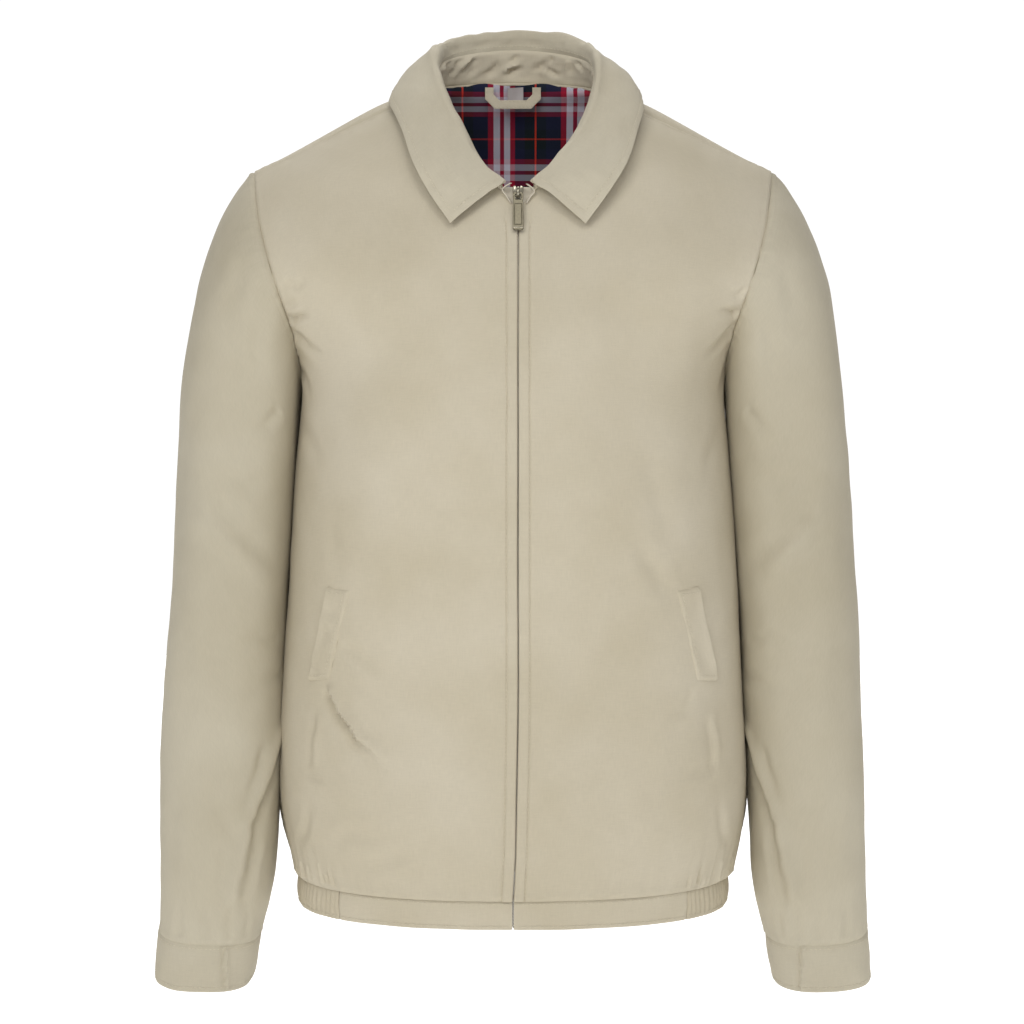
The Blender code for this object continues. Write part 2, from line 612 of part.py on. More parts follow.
def build_pull():
    pivot = bpy.data.objects.new("pull_axis", None)
    bpy.context.scene.collection.objects.link(pivot)
    pivot.location = Vector(PULL_AXIS) * MM
    pivot.rotation_euler.x = -math.radians(PULL_REST_ANGLE)
    length, bar = PULL["length"], PULL["bar"]
    outer = rounded_loop(PULL["width"], length, (0, bar / 2 - length / 2), 24)
    inner = rounded_loop(PULL["eye_width"], PULL["eye_height"], (0, -bar / 2 - PULL["eye_height"] / 2), 24)
    grid = np.array([[(x, -PULL["thick"] / 2, z) for x, z in loop] for loop in (outer, inner)])
    pull = grid_sheet("zip_pull", grid, GUNMETAL, PULL["thick"], closed=True)
    pull.parent = pivot


def main():
    clear_scene()
    fronts = build_fronts()
    back = build_back()
    build_sleeves(fronts, back)
    build_hem()
    neck = build_collar(fronts, back)
    build_neck_trim(neck)
    build_loop_and_label()
    build_welts(fronts)
    build_zip()
    build_slider()
    build_pull()


main()
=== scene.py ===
"""The looks of a zipped harrington jacket, kept in the hollow form of a torso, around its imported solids.

Tables are in millimetres, +X is the wearer's left and the front faces -Y. Every wall of cloth is a fine
grid of points on the same outer face as its solid, with its creases pressed in and its edges rolled.
"""

from __future__ import annotations

import logging
import math
from dataclasses import dataclass, field
from enum import Enum
from typing import NamedTuple, Sequence

import bmesh
import bpy
import numpy as np
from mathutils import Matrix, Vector
from mathutils.bvhtree import BVHTree

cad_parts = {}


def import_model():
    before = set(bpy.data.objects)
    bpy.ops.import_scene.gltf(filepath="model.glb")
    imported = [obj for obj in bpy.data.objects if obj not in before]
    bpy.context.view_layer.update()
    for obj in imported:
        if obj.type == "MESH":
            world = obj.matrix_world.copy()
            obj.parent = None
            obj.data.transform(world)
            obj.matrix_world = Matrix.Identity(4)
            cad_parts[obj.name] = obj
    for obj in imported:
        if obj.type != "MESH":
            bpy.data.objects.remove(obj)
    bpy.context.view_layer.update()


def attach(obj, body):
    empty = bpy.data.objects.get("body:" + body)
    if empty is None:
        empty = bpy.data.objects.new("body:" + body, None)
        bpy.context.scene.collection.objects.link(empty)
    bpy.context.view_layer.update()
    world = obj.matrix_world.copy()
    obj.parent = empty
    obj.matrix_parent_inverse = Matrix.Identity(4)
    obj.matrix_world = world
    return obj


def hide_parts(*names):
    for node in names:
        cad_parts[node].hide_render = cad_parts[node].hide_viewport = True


LOG = logging.getLogger("harrington")

MM = 0.001
GARMENT, PULL_TAB = "garment", "pull_tab"
CLOTH_UV = "Cloth"  # real distances on the cloth, in metres

SHELL_WALL, COLLAR_WALL, BAND_WALL, LINING_WALL, WELT_WALL, TAPE_WALL = 1.6, 2.0, 2.2, 1.0, 1.5, 1.0
SEAM_GAP = 0.4
LINING_GAP = 1.4
TORSO_ROUNDNESS, SLEEVE_ROUNDNESS = 2.3, 2.6
RING_STEPS = 16  # steps of the armhole's outline that the sleeve's rings count in

Sides = ((1, "left"), (-1, "right"))


class Slot(Enum):
    """The record's material slots."""

    SHELL = "shell"
    ELASTIC = "elastic"
    LINING = "lining"
    TAPE = "tape"
    LABEL = "label"
    METAL = "zip_metal"


class Held(Enum):
    """How a sheet of cloth is kept in its shape."""

    DRAPED = "draped"
    GATHERED = "gathered"
    FOLDED = "folded"
    STRETCHED = "stretched"


class Edge(Enum):
    """The edges of a grid of cloth."""

    LAST = "last column"
    LOW = "first row"
    HIGH = "last row"


class Press(Enum):
    """The cross-section of a crease."""

    TROUGH = "trough"
    RIDGE = "ridge"
    STEP = "step"  # a ridge with a trough on its other side


# -------------------- Finishes


def hex_to_linear(code: str) -> tuple[float, float, float, float]:
    """Turns an sRGB colour into linear light.

    Args:
        code: six hex digits, with or without a leading #.

    Returns:
        Red, green, blue and an alpha of 1.
    """
    digits = code.lstrip("#")
    values = [int(digits[i : i + 2], 16) / 255 for i in (0, 2, 4)]
    red, green, blue = (v / 12.92 if v <= 0.04045 else ((v + 0.055) / 1.055) ** 2.4 for v in values)
    return red, green, blue, 1.0


def add_node(tree: bpy.types.NodeTree, kind: str, inputs: dict | None = None, **settings: object) -> bpy.types.Node:
    """Adds a node with its settings and its inputs.

    Args:
        tree: the material's nodes.
        kind: the node's Blender name.
        inputs: a value for each input by name or number, or the socket that feeds it.
        settings: the node's own properties.

    Returns:
        The node.
    """
    node = tree.nodes.new(kind)
    for name, value in settings.items():
        setattr(node, name, value)
    feed(node, inputs or {})
    return node


def feed(node: bpy.types.Node, inputs: dict) -> None:
    """Sets each input of a node, by name or number, to its value or to the socket that feeds it."""
    for name, value in inputs.items():
        if isinstance(value, bpy.types.NodeSocket):
            node.id_data.links.new(value, node.inputs[name])
        else:
            node.inputs[name].default_value = value


def set_stops(ramp: bpy.types.Node, stops: Sequence[tuple[float, str]], stepped: bool) -> None:
    """Sets the colours of a colour ramp.

    Args:
        ramp: the node.
        stops: places from 0 to 1 with their hex colours.
        stepped: whether each colour runs flat up to the next.
    """
    ramp.color_ramp.interpolation = "CONSTANT" if stepped else "LINEAR"
    elements = ramp.color_ramp.elements
    while len(elements) < len(stops):
        elements.new(1.0)
    for element, (place, code) in zip(elements, stops):
        element.position = place
        element.color = hex_to_linear(code)


@dataclass(frozen=True)
class Finish:
    """A finish with a name, which makes its material once."""

    name: str
    slot: Slot

    def dress(self, tree: bpy.types.NodeTree, shader: bpy.types.Node) -> None:
        """Fills in the shader. Each finish has its own."""
        raise NotImplementedError

    def material(self) -> bpy.types.Material:
        """Returns the finish's material, made at the first call."""
        found = bpy.data.materials.get(self.name)
        if found is None:
            found = bpy.data.materials.new(self.name)
            found.use_nodes = True
            tree = found.node_tree
            tree.nodes.clear()
            shader = add_node(tree, "ShaderNodeBsdfPrincipled")
            add_node(tree, "ShaderNodeOutputMaterial", {"Surface": shader.outputs["BSDF"]})
            self.dress(tree, shader)
        return found


def wave_scale(period_mm: float) -> float:
    """The Wave texture's scale for bands of that period, in coordinates of metres."""
    return math.tau / 20 / (period_mm * MM)


@dataclass(frozen=True)
class PlainWeave(Finish):
    """A plain-woven cloth: warp and weft bump, slubs along both, and a slow drift of its dye."""

    colour: str = "C9C0AB"
    worn: str = "BEB49C"
    thread_mm: float = 0.9
    slub_mm: float = 9.0
    roughness: float = 0.88
    sheen: float = 0.12
    relief_mm: float = 0.12

    def dress(self, tree: bpy.types.NodeTree, shader: bpy.types.Node) -> None:
        """Builds the weave on the cloth's own distances.

        Args:
            tree: the material's nodes.
            shader: its Principled node.
        """
        cloth = add_node(tree, "ShaderNodeUVMap", uv_map=CLOTH_UV).outputs["UV"]
        bands = [
            add_node(
                tree, "ShaderNodeTexWave", {"Vector": cloth, "Scale": wave_scale(self.thread_mm), "Distortion": 0.6,
                                            "Detail": 1.0, "Detail Scale": 2.0},
                wave_type="BANDS", bands_direction=way,
            ).outputs["Fac"]
            for way in ("X", "Y")
        ]
        weave = add_node(tree, "ShaderNodeMath", {0: bands[0], 1: bands[1]}, operation="MAXIMUM").outputs[0]
        fine, coarse = 1 / (self.thread_mm * MM), 1 / (self.slub_mm * MM)
        slubs = []
        for scale in ((coarse, fine, 1.0), (fine, coarse, 1.0)):
            along = add_node(tree, "ShaderNodeMapping", {"Vector": cloth, "Scale": scale}).outputs["Vector"]
            slub = add_node(tree, "ShaderNodeTexNoise", {"Vector": along, "Scale": 1.0, "Detail": 2.0})
            slubs.append(slub.outputs["Fac"])
        yarn = add_node(tree, "ShaderNodeMath", {0: slubs[0], 1: slubs[1]}, operation="ADD").outputs[0]
        height = add_node(tree, "ShaderNodeMath", {0: weave, 1: yarn}, operation="ADD").outputs[0]
        place = add_node(tree, "ShaderNodeTexCoord").outputs["Object"]
        drift = add_node(
            tree, "ShaderNodeTexNoise", {"Vector": place, "Scale": 9.0, "Detail": 3.0, "Roughness": 0.55}
        ).outputs["Fac"]
        spread = add_node(
            tree, "ShaderNodeMapRange", {"Value": drift, "From Min": 0.3, "From Max": 0.7, "To Min": 0.0, "To Max": 1.0}
        ).outputs[0]
        dye = add_node(
            tree, "ShaderNodeMix", {0: spread, 6: hex_to_linear(self.colour), 7: hex_to_linear(self.worn)},
            data_type="RGBA",
        ).outputs[2]
        yarn_shade = add_node(
            tree, "ShaderNodeMapRange",
            {"Value": yarn, "From Min": 0.7, "From Max": 1.3, "To Min": 0.965, "To Max": 1.03},
        ).outputs[0]
        shaded = add_node(
            tree, "ShaderNodeVectorMath", {0: dye, "Scale": yarn_shade}, operation="SCALE"
        ).outputs[0]
        bump = add_node(
            tree, "ShaderNodeBump", {"Height": height, "Distance": self.relief_mm * MM, "Strength": 0.5}
        ).outputs["Normal"]
        feed(shader, {
            "Base Color": shaded, "Normal": bump, "Roughness": self.roughness, "IOR": 1.5,
            "Specular IOR Level": 0.25, "Sheen Weight": self.sheen, "Sheen Roughness": 0.6,
            "Sheen Tint": hex_to_linear("E8E2D4")
        })


@dataclass(frozen=True)
class YarnDyedPlaid(Finish):
    """A yarn-dyed checked poplin: warp and weft carry the same stripes, and mix where they cross."""

    repeat_mm: float = 63.8
    first_bar_mm: float = -22.2
    drop_mm: float = -11.9
    # Widths of the stripes of one repeat, in millimetres, with their colours.
    stripes: tuple[tuple[float, str], ...] = (
        (4.6, "B01436"), (5.6, "E9E6F2"), (3.4, "A81235"), (5.6, "E9E6F2"), (4.8, "B01436"),
        (9.0, "151B38"), (8.6, "0B1A1C"), (1.3, "E2401F"), (8.4, "0D1A20"), (12.5, "151B38"),
    )

    def threads(self, tree: bpy.types.NodeTree, distance: bpy.types.NodeSocket, first: float) -> bpy.types.NodeSocket:
        """The colour of the threads at a distance across them.

        Args:
            tree: the material's nodes.
            distance: metres across the threads.
            first: where the first stripe starts, in millimetres.

        Returns:
            The colour's socket.
        """
        repeats = add_node(
            tree, "ShaderNodeMath", {0: distance, 1: 1 / (self.repeat_mm * MM), 2: -first / self.repeat_mm},
            operation="MULTIPLY_ADD",
        ).outputs[0]
        share = add_node(tree, "ShaderNodeMath", {0: repeats}, operation="FRACT").outputs[0]
        ramp = add_node(tree, "ShaderNodeValToRGB", {"Fac": share})
        total = sum(width for width, _ in self.stripes)
        place, stops = 0.0, []
        for width, code in self.stripes:
            stops.append((place / total, code))
            place += width
        set_stops(ramp, stops, stepped=True)
        return ramp.outputs["Color"]

    def dress(self, tree: bpy.types.NodeTree, shader: bpy.types.Node) -> None:
        """Crosses the two sets of threads.

        Args:
            tree: the material's nodes.
            shader: its Principled node.
        """
        cloth = add_node(tree, "ShaderNodeUVMap", uv_map=CLOTH_UV).outputs["UV"]
        apart = add_node(tree, "ShaderNodeSeparateXYZ", {"Vector": cloth})
        warp = self.threads(tree, apart.outputs["X"], self.first_bar_mm)
        weft = self.threads(tree, apart.outputs["Y"], self.drop_mm)
        ribs = add_node(
            tree, "ShaderNodeTexWave", {"Vector": cloth, "Scale": wave_scale(1.1), "Distortion": 0.4},
            wave_type="BANDS", bands_direction="DIAGONAL",
        ).outputs["Fac"]
        over = add_node(
            tree, "ShaderNodeMapRange",
            {"Value": ribs, "From Min": 0.0, "From Max": 1.0, "To Min": 0.26, "To Max": 0.42},
        ).outputs[0]
        colour = add_node(tree, "ShaderNodeMix", {0: over, 6: warp, 7: weft}, data_type="RGBA").outputs[2]
        bump = add_node(
            tree, "ShaderNodeBump", {"Height": ribs, "Distance": 0.1 * MM, "Strength": 0.4}
        ).outputs["Normal"]
        feed(shader, {
            "Base Color": colour, "Normal": bump, "Roughness": 0.8, "Specular IOR Level": 0.3,
            "Sheen Weight": 0.05
        })


@dataclass(frozen=True)
class WovenSatin(Finish):
    """A damask satin: smooth floats of thread that catch the light along one way."""

    colour: str = "AAA29F"
    shade: str = "8B8382"

    def dress(self, tree: bpy.types.NodeTree, shader: bpy.types.Node) -> None:
        """Draws the floats as fine ribs.

        Args:
            tree: the material's nodes.
            shader: its Principled node.
        """
        cloth = add_node(tree, "ShaderNodeUVMap", uv_map=CLOTH_UV).outputs["UV"]
        ribs = add_node(
            tree, "ShaderNodeTexWave", {"Vector": cloth, "Scale": wave_scale(0.8), "Distortion": 1.0},
            wave_type="BANDS", bands_direction="X",
        ).outputs["Fac"]
        colour = add_node(
            tree, "ShaderNodeMix", {0: ribs, 6: hex_to_linear(self.colour), 7: hex_to_linear(self.shade)},
            data_type="RGBA",
        ).outputs[2]
        tree.links.new(colour, shader.inputs["Base Color"])
        bump = add_node(tree, "ShaderNodeBump", {"Height": ribs, "Distance": 0.05 * MM, "Strength": 0.4})
        feed(shader, {"Normal": bump.outputs["Normal"], "Roughness": 0.42, "Anisotropic": 0.4})


@dataclass(frozen=True)
class PlatedZinc(Finish):
    """Die-cast zinc with a dark plating: tumbled smooth, lighter where the edges have rubbed."""

    colour: str = "5B5648"
    rubbed: str = "958D78"
    roughness: float = 0.34
    wear_share: float = 0.35

    def dress(self, tree: bpy.types.NodeTree, shader: bpy.types.Node) -> None:
        """Mottles the plating and its gloss.

        Args:
            tree: the material's nodes.
            shader: its Principled node.
        """
        place = add_node(tree, "ShaderNodeTexCoord").outputs["Object"]
        blotch = add_node(
            tree, "ShaderNodeTexNoise", {"Vector": place, "Scale": 700.0, "Detail": 4.0, "Roughness": 0.6}
        ).outputs["Fac"]
        rub = add_node(
            tree, "ShaderNodeMapRange",
            {"Value": blotch, "From Min": 0.4, "From Max": 0.75, "To Min": 0.0, "To Max": self.wear_share},
        ).outputs[0]
        colour = add_node(
            tree, "ShaderNodeMix", {0: rub, 6: hex_to_linear(self.colour), 7: hex_to_linear(self.rubbed)},
            data_type="RGBA",
        ).outputs[2]
        gloss = add_node(
            tree, "ShaderNodeMapRange",
            {"Value": blotch, "From Min": 0.3, "From Max": 0.7, "To Min": self.roughness - 0.06,
             "To Max": self.roughness + 0.1},
        ).outputs[0]
        feed(shader, {"Base Color": colour, "Roughness": gloss})
        bump = add_node(tree, "ShaderNodeBump", {"Height": blotch, "Distance": 0.02 * MM, "Strength": 0.3})
        feed(shader, {"Normal": bump.outputs["Normal"], "Metallic": 1.0})


@dataclass(frozen=True)
class SpunPolyester(Finish):
    """Plied polyester: sewing thread and the zip's coil, with a soft gloss along its ply."""

    colour: str = "CFC5AE"
    shade: str = "A99F88"
    roughness: float = 0.6

    def dress(self, tree: bpy.types.NodeTree, shader: bpy.types.Node) -> None:
        """Varies the ply's colour from stitch to stitch.

        Args:
            tree: the material's nodes.
            shader: its Principled node.
        """
        place = add_node(tree, "ShaderNodeTexCoord").outputs["Object"]
        ply = add_node(tree, "ShaderNodeTexNoise", {"Vector": place, "Scale": 900.0, "Detail": 2.0}).outputs["Fac"]
        colour = add_node(
            tree, "ShaderNodeMix", {0: ply, 6: hex_to_linear(self.colour), 7: hex_to_linear(self.shade)},
            data_type="RGBA",
        ).outputs[2]
        tree.links.new(colour, shader.inputs["Base Color"])
        bump = add_node(tree, "ShaderNodeBump", {"Height": ply, "Distance": 0.05 * MM, "Strength": 0.4})
        feed(shader, {"Normal": bump.outputs["Normal"], "Roughness": self.roughness})


@dataclass(frozen=True)
class StudioPaper(Finish):
    """Seamless background paper: white, matt, with the faintest tooth."""

    colour: str = "F6F6F4"
    glow: float = 0.55

    def dress(self, tree: bpy.types.NodeTree, shader: bpy.types.Node) -> None:
        """Gives the paper its tooth and its own glow.

        Args:
            tree: the material's nodes.
            shader: its Principled node.
        """
        place = add_node(tree, "ShaderNodeTexCoord").outputs["Object"]
        tooth = add_node(tree, "ShaderNodeTexNoise", {"Vector": place, "Scale": 300.0, "Detail": 2.0})
        bump = add_node(tree, "ShaderNodeBump", {"Height": tooth.outputs["Fac"], "Distance": 0.1 * MM})
        feed(shader, {
            "Normal": bump.outputs["Normal"], "Base Color": hex_to_linear(self.colour), "Roughness": 0.95,
            "Emission Color": (1.0, 1.0, 1.0, 1.0), "Emission Strength": self.glow
        })


# Washed cotton poplin, plain woven. Its real threads lie 0.3 mm apart, too fine to show, so they are
# drawn three times as coarse. Matt, with a dry bloom at grazing angles.
COTTON = PlainWeave("washed_cotton_poplin", Slot.SHELL)
# The same poplin on the sleeves, cuffs and their bands, a shade deeper than the body's: painted shade, since they hang
# in less light.
SLEEVE_COTTON_PAINTED_SHADE = PlainWeave("sleeve_cotton_painted_shade", Slot.SHELL, colour="BFB7A2", worn="B5AC95")
# The same poplin inside the neck, a shade paler than the body's: painted light, for the inside of the collar that lies
# in the shade of the fall.
STAND_COTTON_PAINTED_LIGHT = PlainWeave("stand_cotton_painted_light", Slot.SHELL, colour="D3CAB4", worn="C9BFA8", relief_mm=0.1)
# The same poplin over elastic: shirred, so its threads stand closer, and a shade darker as painted shade for the
# shadows among its gathers.
SHIRRED_PAINTED_SHADE = PlainWeave("shirred_cotton_painted_shade", Slot.ELASTIC, colour="C3B9A2", worn="B8AD94", thread_mm=0.8)
# Collar fabric, a little greyer and darker than the body's: painted shade, for a collar that tilts away from the lamps.
COLLAR_COTTON_PAINTED_SHADE = PlainWeave("collar_cotton_painted_shade", Slot.SHELL, colour="C3BBA6", worn="BAB19B", relief_mm=0.09)
# Checked poplin lining, yarn dyed, with real stripes of 1 to 12 mm.
PLAID = YarnDyedPlaid("yarn_dyed_plaid_poplin", Slot.LINING)
# Polyester taffeta inside the sleeves, so that an arm slides in: pale, close woven, faintly glossy.
SLEEVE_TAFFETA = PlainWeave("stone_taffeta", Slot.LINING, colour="A39A84", worn="978E79", thread_mm=0.6, roughness=0.5)
# Woven polyester zip tape, ribbed along its length.
ZIP_TAPE = PlainWeave("woven_zip_tape", Slot.TAPE, colour="D3CBBA", worn="C6BDAA", thread_mm=0.9, roughness=0.75)
LABEL_SATIN = WovenSatin("damask_satin", Slot.LABEL)
GUNMETAL = PlatedZinc("gunmetal_plated_zinc", Slot.METAL)
# The slider's body rubs against fingers and cloth, so more of its plating is bright.
RUBBED_METAL = PlatedZinc("rubbed_gunmetal_zinc", Slot.METAL, colour="9C9583", rubbed="D8D2C2", roughness=0.3)
THREAD = SpunPolyester("spun_polyester_thread", Slot.SHELL, colour="D9D0BA", shade="B5AC95")
COIL = SpunPolyester("moulded_zip_coil", Slot.TAPE, colour="C9C2B2", shade="9D9686", roughness=0.45)
PAPER = StudioPaper("seamless_paper", Slot.SHELL)


# -------------------- Lines and grids of points


class Row(NamedTuple):
    """An arc of a panel, from its inner edge to its outer one, which turns through `sweep` degrees."""

    name: str
    steps: int
    inner: tuple[float, float, float]
    outer: tuple[float, float, float]
    sweep: float
    square: float
    rise: float
    lean: float


class Ring(NamedTuple):
    """A ring of a sleeve, as a line seen from the front, with its depths and its share of the armhole."""

    name: str
    steps: int
    outer_x: float
    outer_z: float
    inner_x: float
    inner_z: float
    front_y: float
    back_y: float
    own: float
    dip: float


class CollarStation(NamedTuple):
    """A station of the collar: the seam of stand and fall, the roll, and the fall's outer edge."""

    name: str
    steps: int
    seam: tuple[float, float, float]
    roll: tuple[float, float, float]
    edge: tuple[float, float, float]
    bulge: float
    lean: float


class BandRow(NamedTuple):
    """A line round the hem band."""

    z: float
    half_width: float
    front: float
    back: float


ZIP_EDGE = 0.42  # the folded edges of the fronts nearly meet over the zip
FRONT_ROWS = (
    Row("hem seam", 2, (ZIP_EDGE, -124, -638.2), (178, 0.1, -638.2), 90, 2.3, 0, 0),
    Row("blouse", 2, (ZIP_EDGE, -130, -600), (189.6, 0.1, -600), 90, 2.3, 0, 2),
    Row("waist", 2, (ZIP_EDGE, -132, -490), (189.3, 0.1, -490), 90, 2.3, 0, 4),
    Row("ribs", 1, (ZIP_EDGE, -137, -380), (183, 0.1, -380), 90, 2.3, 0, 4),
    Row("chest", 1, (ZIP_EDGE, -138, -300), (177, 0.1, -300), 90, 2.3, 0, 4),
    Row("armpit", 2, (ZIP_EDGE, -134, -236), (170, 0.1, -240), 90, 2.3, 0, 4),
    Row("under arm", 2, (ZIP_EDGE, -128, -195), (177, -54, -190), 74, 2.1, 0, 4),
    Row("mid arm", 2, (ZIP_EDGE, -119, -155), (189, -77, -150), 62, 2, 0, 4),
    Row("high arm", 1, (ZIP_EDGE, -105, -118), (202, -60, -104), 62, 2, 0, 4),
    Row("zip end", 1, (ZIP_EDGE, -92.5, -92), (206.5, -38, -80), 68, 2, 0, 4),
    Row("shoulder point", 2, (12, -85, -76), (209.5, -14.9, -63), 74, 2, 0, 4),
    Row("mid shoulder", 1, (43, -70, -52), (146, -18.8, -34), 66, 2, 0, 4),
    Row("collar", 2, (54, -59, -39), (125, -17.5, -24), 64, 2, 0, 3),
    Row("collar side", 2, (66, -38, -17), (97, -14.85, -11.2), 60, 2, 0, 2),
    Row("neck point", 0, (70, -11.9, 1), (70, -11.9, 1), 50, 2, 0, 0),
)
BACK_ROWS = (
    Row("hem seam", 2, (0, 112, -638.2), (178, -0.1, -638.2), 90, 2.3, 0, 0),
    Row("blouse", 2, (0, 120, -600), (189.6, -0.1, -600), 90, 2.3, 0, 0),
    Row("waist", 2, (0, 116, -490), (189.3, -0.1, -490), 90, 2.3, 0, 0),
    Row("ribs", 1, (0, 122, -380), (183, -0.1, -380), 90, 2.3, 0, 0),
    Row("chest", 1, (0, 128, -300), (177, -0.1, -300), 90, 2.3, 0, 0),
    Row("armpit", 2, (0, 129, -236), (170, -0.1, -240), 90, 2.3, 0, 0),
    Row("under arm", 2, (0, 127, -190), (178, 54, -190), 74, 2.1, 0, 0),
    Row("mid arm", 2, (0, 122, -140), (191, 74, -146), 64, 2, 0, 0),
    Row("high arm", 1, (0, 112, -92), (204, 58, -100), 66, 2, 0, 0),
    Row("zip end", 1, (0, 102, -60), (208, 30, -76), 74, 2, 2, 0),
    Row("shoulder point", 2, (0, 88, -28), (209.5, -15.0, -63), 82, 2, 5, 0),
    Row("mid shoulder", 1, (0, 64, 9), (146, -19.0, -34), 84, 2, 9, 0),
    Row("collar", 2, (24, 61.5, 8.5), (125, -17.6, -24), 84, 2, 8.5, 0),
    Row("collar side", 2, (58, 36, 5.5), (97, -14.95, -11.2), 84, 2, 6, 0),
    Row("neck point", 0, (70, -12.0, 1), (70, -12.0, 1), 84, 2, 0, 0),
)
SIDE_CORNERS = ("armpit", "shoulder point")
FRONT_CORNERS = ("zip end", "shoulder point")
BACK_CORNERS = ("mid shoulder",)

SLEEVE_RINGS = (
    Ring("armhole", 1, 210.0, -62, 170.5, -240, -77, 74, 1.0, 0),
    Ring("cap", 1, 225, -74, 172.2, -243, -77, 75, 0.8, 0),
    Ring("cap", 1, 240, -94, 173.0, -248, -76, 76, 0.55, 0),
    Ring("cap", 1, 250.5, -118, 173.8, -256, -75, 76, 0.3, 0),
    Ring("upper arm", 1, 258, -150, 174.4, -266, -73, 76, 0.12, 0),
    Ring("upper arm", 1, 264, -200, 176.0, -292, -71, 76, 0, 0),
    Ring("upper arm", 2, 271, -275, 179.4, -342, -69, 76, 0, 0),
    Ring("elbow", 2, 279, -380, 183.6, -405, -66, 74, 0, 0),
    Ring("forearm", 1, 287, -495, 188.6, -500, -62, 70, 0, 0),
    Ring("forearm", 1, 291, -608, 195.0, -608, -56, 62, 0, 2),
    Ring("above cuff", 1, 292.5, -650, 199.5, -650, -50, 56, 0, 4),
    Ring("cuff seam", 0, 293.5, -685.2, 209, -689.2, -42, 46, 0, 6),
)
CUFF_RINGS = (
    Ring("cuff seam", 1, 293.5, -684.0, 209, -688.0, -42, 46, 0, 6),
    Ring("cuff mouth", 0, 297, -725, 215.5, -727, -40, 44, 0, 6),
)
HEM_BAND = (BandRow(-636.6, 176.6, 121.6, 110), BandRow(-650, 177.2, 120.6, 109), BandRow(-662, 176.6, 119.4, 108.4))

COLLAR_STATIONS = (
    CollarStation("zip", 2, (12, -86.5, -72.5), (9, -89.5, -67.5), (53, -108, -102), 4, 4),
    CollarStation("front", 2, (23, -81, -63), (24, -84, -55), (69, -102, -80), 5, 4.5),
    CollarStation("mid front", 2, (38, -68, -42), (40, -71, -34), (83, -91, -57), 6, 5.5),
    CollarStation("side front", 2, (53, -44, -13), (55, -47, -5), (93, -66, -31), 7, 5.5),
    CollarStation("side", 3, (62, -8, 18), (63, -10, 30), (102, -18, -6), 8, 2.5),
    CollarStation("side back", 3, (49, 37, 31), (51, 37, 46), (86, 58, -2), 8, 2),
    CollarStation("back", 0, (0, 57, 37.5), (0, 57, 53), (0, 82, -2), 7, 1.5),
)
ROLL_WIDTH = 7.0
CREASE_SCALE = 1.6


def through(points: Sequence, steps: Sequence[int]) -> np.ndarray:
    """Points of a smooth curve.

    Args:
        points: what it passes through.
        steps: the pieces between each point and the next.

    Returns:
        The curve's points.
    """
    points = np.array(points, float)
    length = np.maximum(np.linalg.norm(np.diff(points, axis=0), axis=1), 1e-9)
    slope = np.diff(points, axis=0) / length[:, None]
    tangent = np.concatenate([slope[:1], slope])
    share = (length[1:] / (length[1:] + length[:-1]))[:, None]
    tangent[1:-1] = slope[:-1] * share + slope[1:] * (1 - share)
    curve = []
    for i, count in enumerate(steps):
        t = (np.arange(count) / count)[:, None]
        start = points[i] * (2 * t**3 - 3 * t**2 + 1) + tangent[i] * length[i] * (t**3 - 2 * t**2 + t)
        end = points[i + 1] * (3 * t**2 - 2 * t**3) + tangent[i + 1] * length[i] * (t**3 - t**2)
        curve.append(start + end)
    curve.append(points[-1:])
    return np.concatenate(curve)


def edge_of(rows: Sequence, points: Sequence, corners: Sequence[str], steps: Sequence[int]) -> np.ndarray:
    """The curve through a table's points, broken at the named corners.

    Args:
        rows: the table.
        points: one for each row.
        corners: the rows at which the curve turns sharply.
        steps: the mesh rows from each row to the next.

    Returns:
        The curve's points.
    """
    breaks = [0] + [i for i, row in enumerate(rows) if row.name in corners] + [len(rows) - 1]
    pieces = []
    for first, last in zip(breaks, breaks[1:]):
        piece = through(points[first : last + 1], steps[first:last])
        pieces.append(piece if last == breaks[-1] else piece[:-1])
    return np.concatenate(pieces)


def column(rows: Sequence, name: str, steps: Sequence[int]) -> np.ndarray:
    """A number of the table at every mesh row.

    Args:
        rows: the table.
        name: the number's name.
        steps: the mesh rows from each row to the next.

    Returns:
        The numbers, smoothed between the table's rows.
    """
    spread = 50.0
    return through([(spread * i, getattr(row, name)) for i, row in enumerate(rows)], steps)[:, 1]


def signed_power(value: np.ndarray | float, power: np.ndarray | float) -> np.ndarray:
    """A power that keeps the sign."""
    return np.sign(value) * np.abs(value) ** power


def fine_steps(rows: Sequence[Row], spacing: float) -> list[int]:
    """Mesh rows from each row of a panel's table to the next.

    Args:
        rows: the table.
        spacing: the distance wanted between mesh rows.

    Returns:
        One count for each row but the last.
    """
    counts = []
    for row, after in zip(rows, rows[1:]):
        far = max(math.dist(row.inner, after.inner), math.dist(row.outer, after.outer))
        counts.append(max(row.steps, round(far / spacing)))
    return counts


def progress(rows: Sequence, steps: Sequence[int]) -> np.ndarray:
    """How far along the table's own steps each mesh row is."""
    parts = [sum(r.steps for r in rows[:i]) + rows[i].steps * np.arange(n) / n for i, n in enumerate(steps)]
    return np.concatenate(parts + [[sum(r.steps for r in rows[:-1])]])


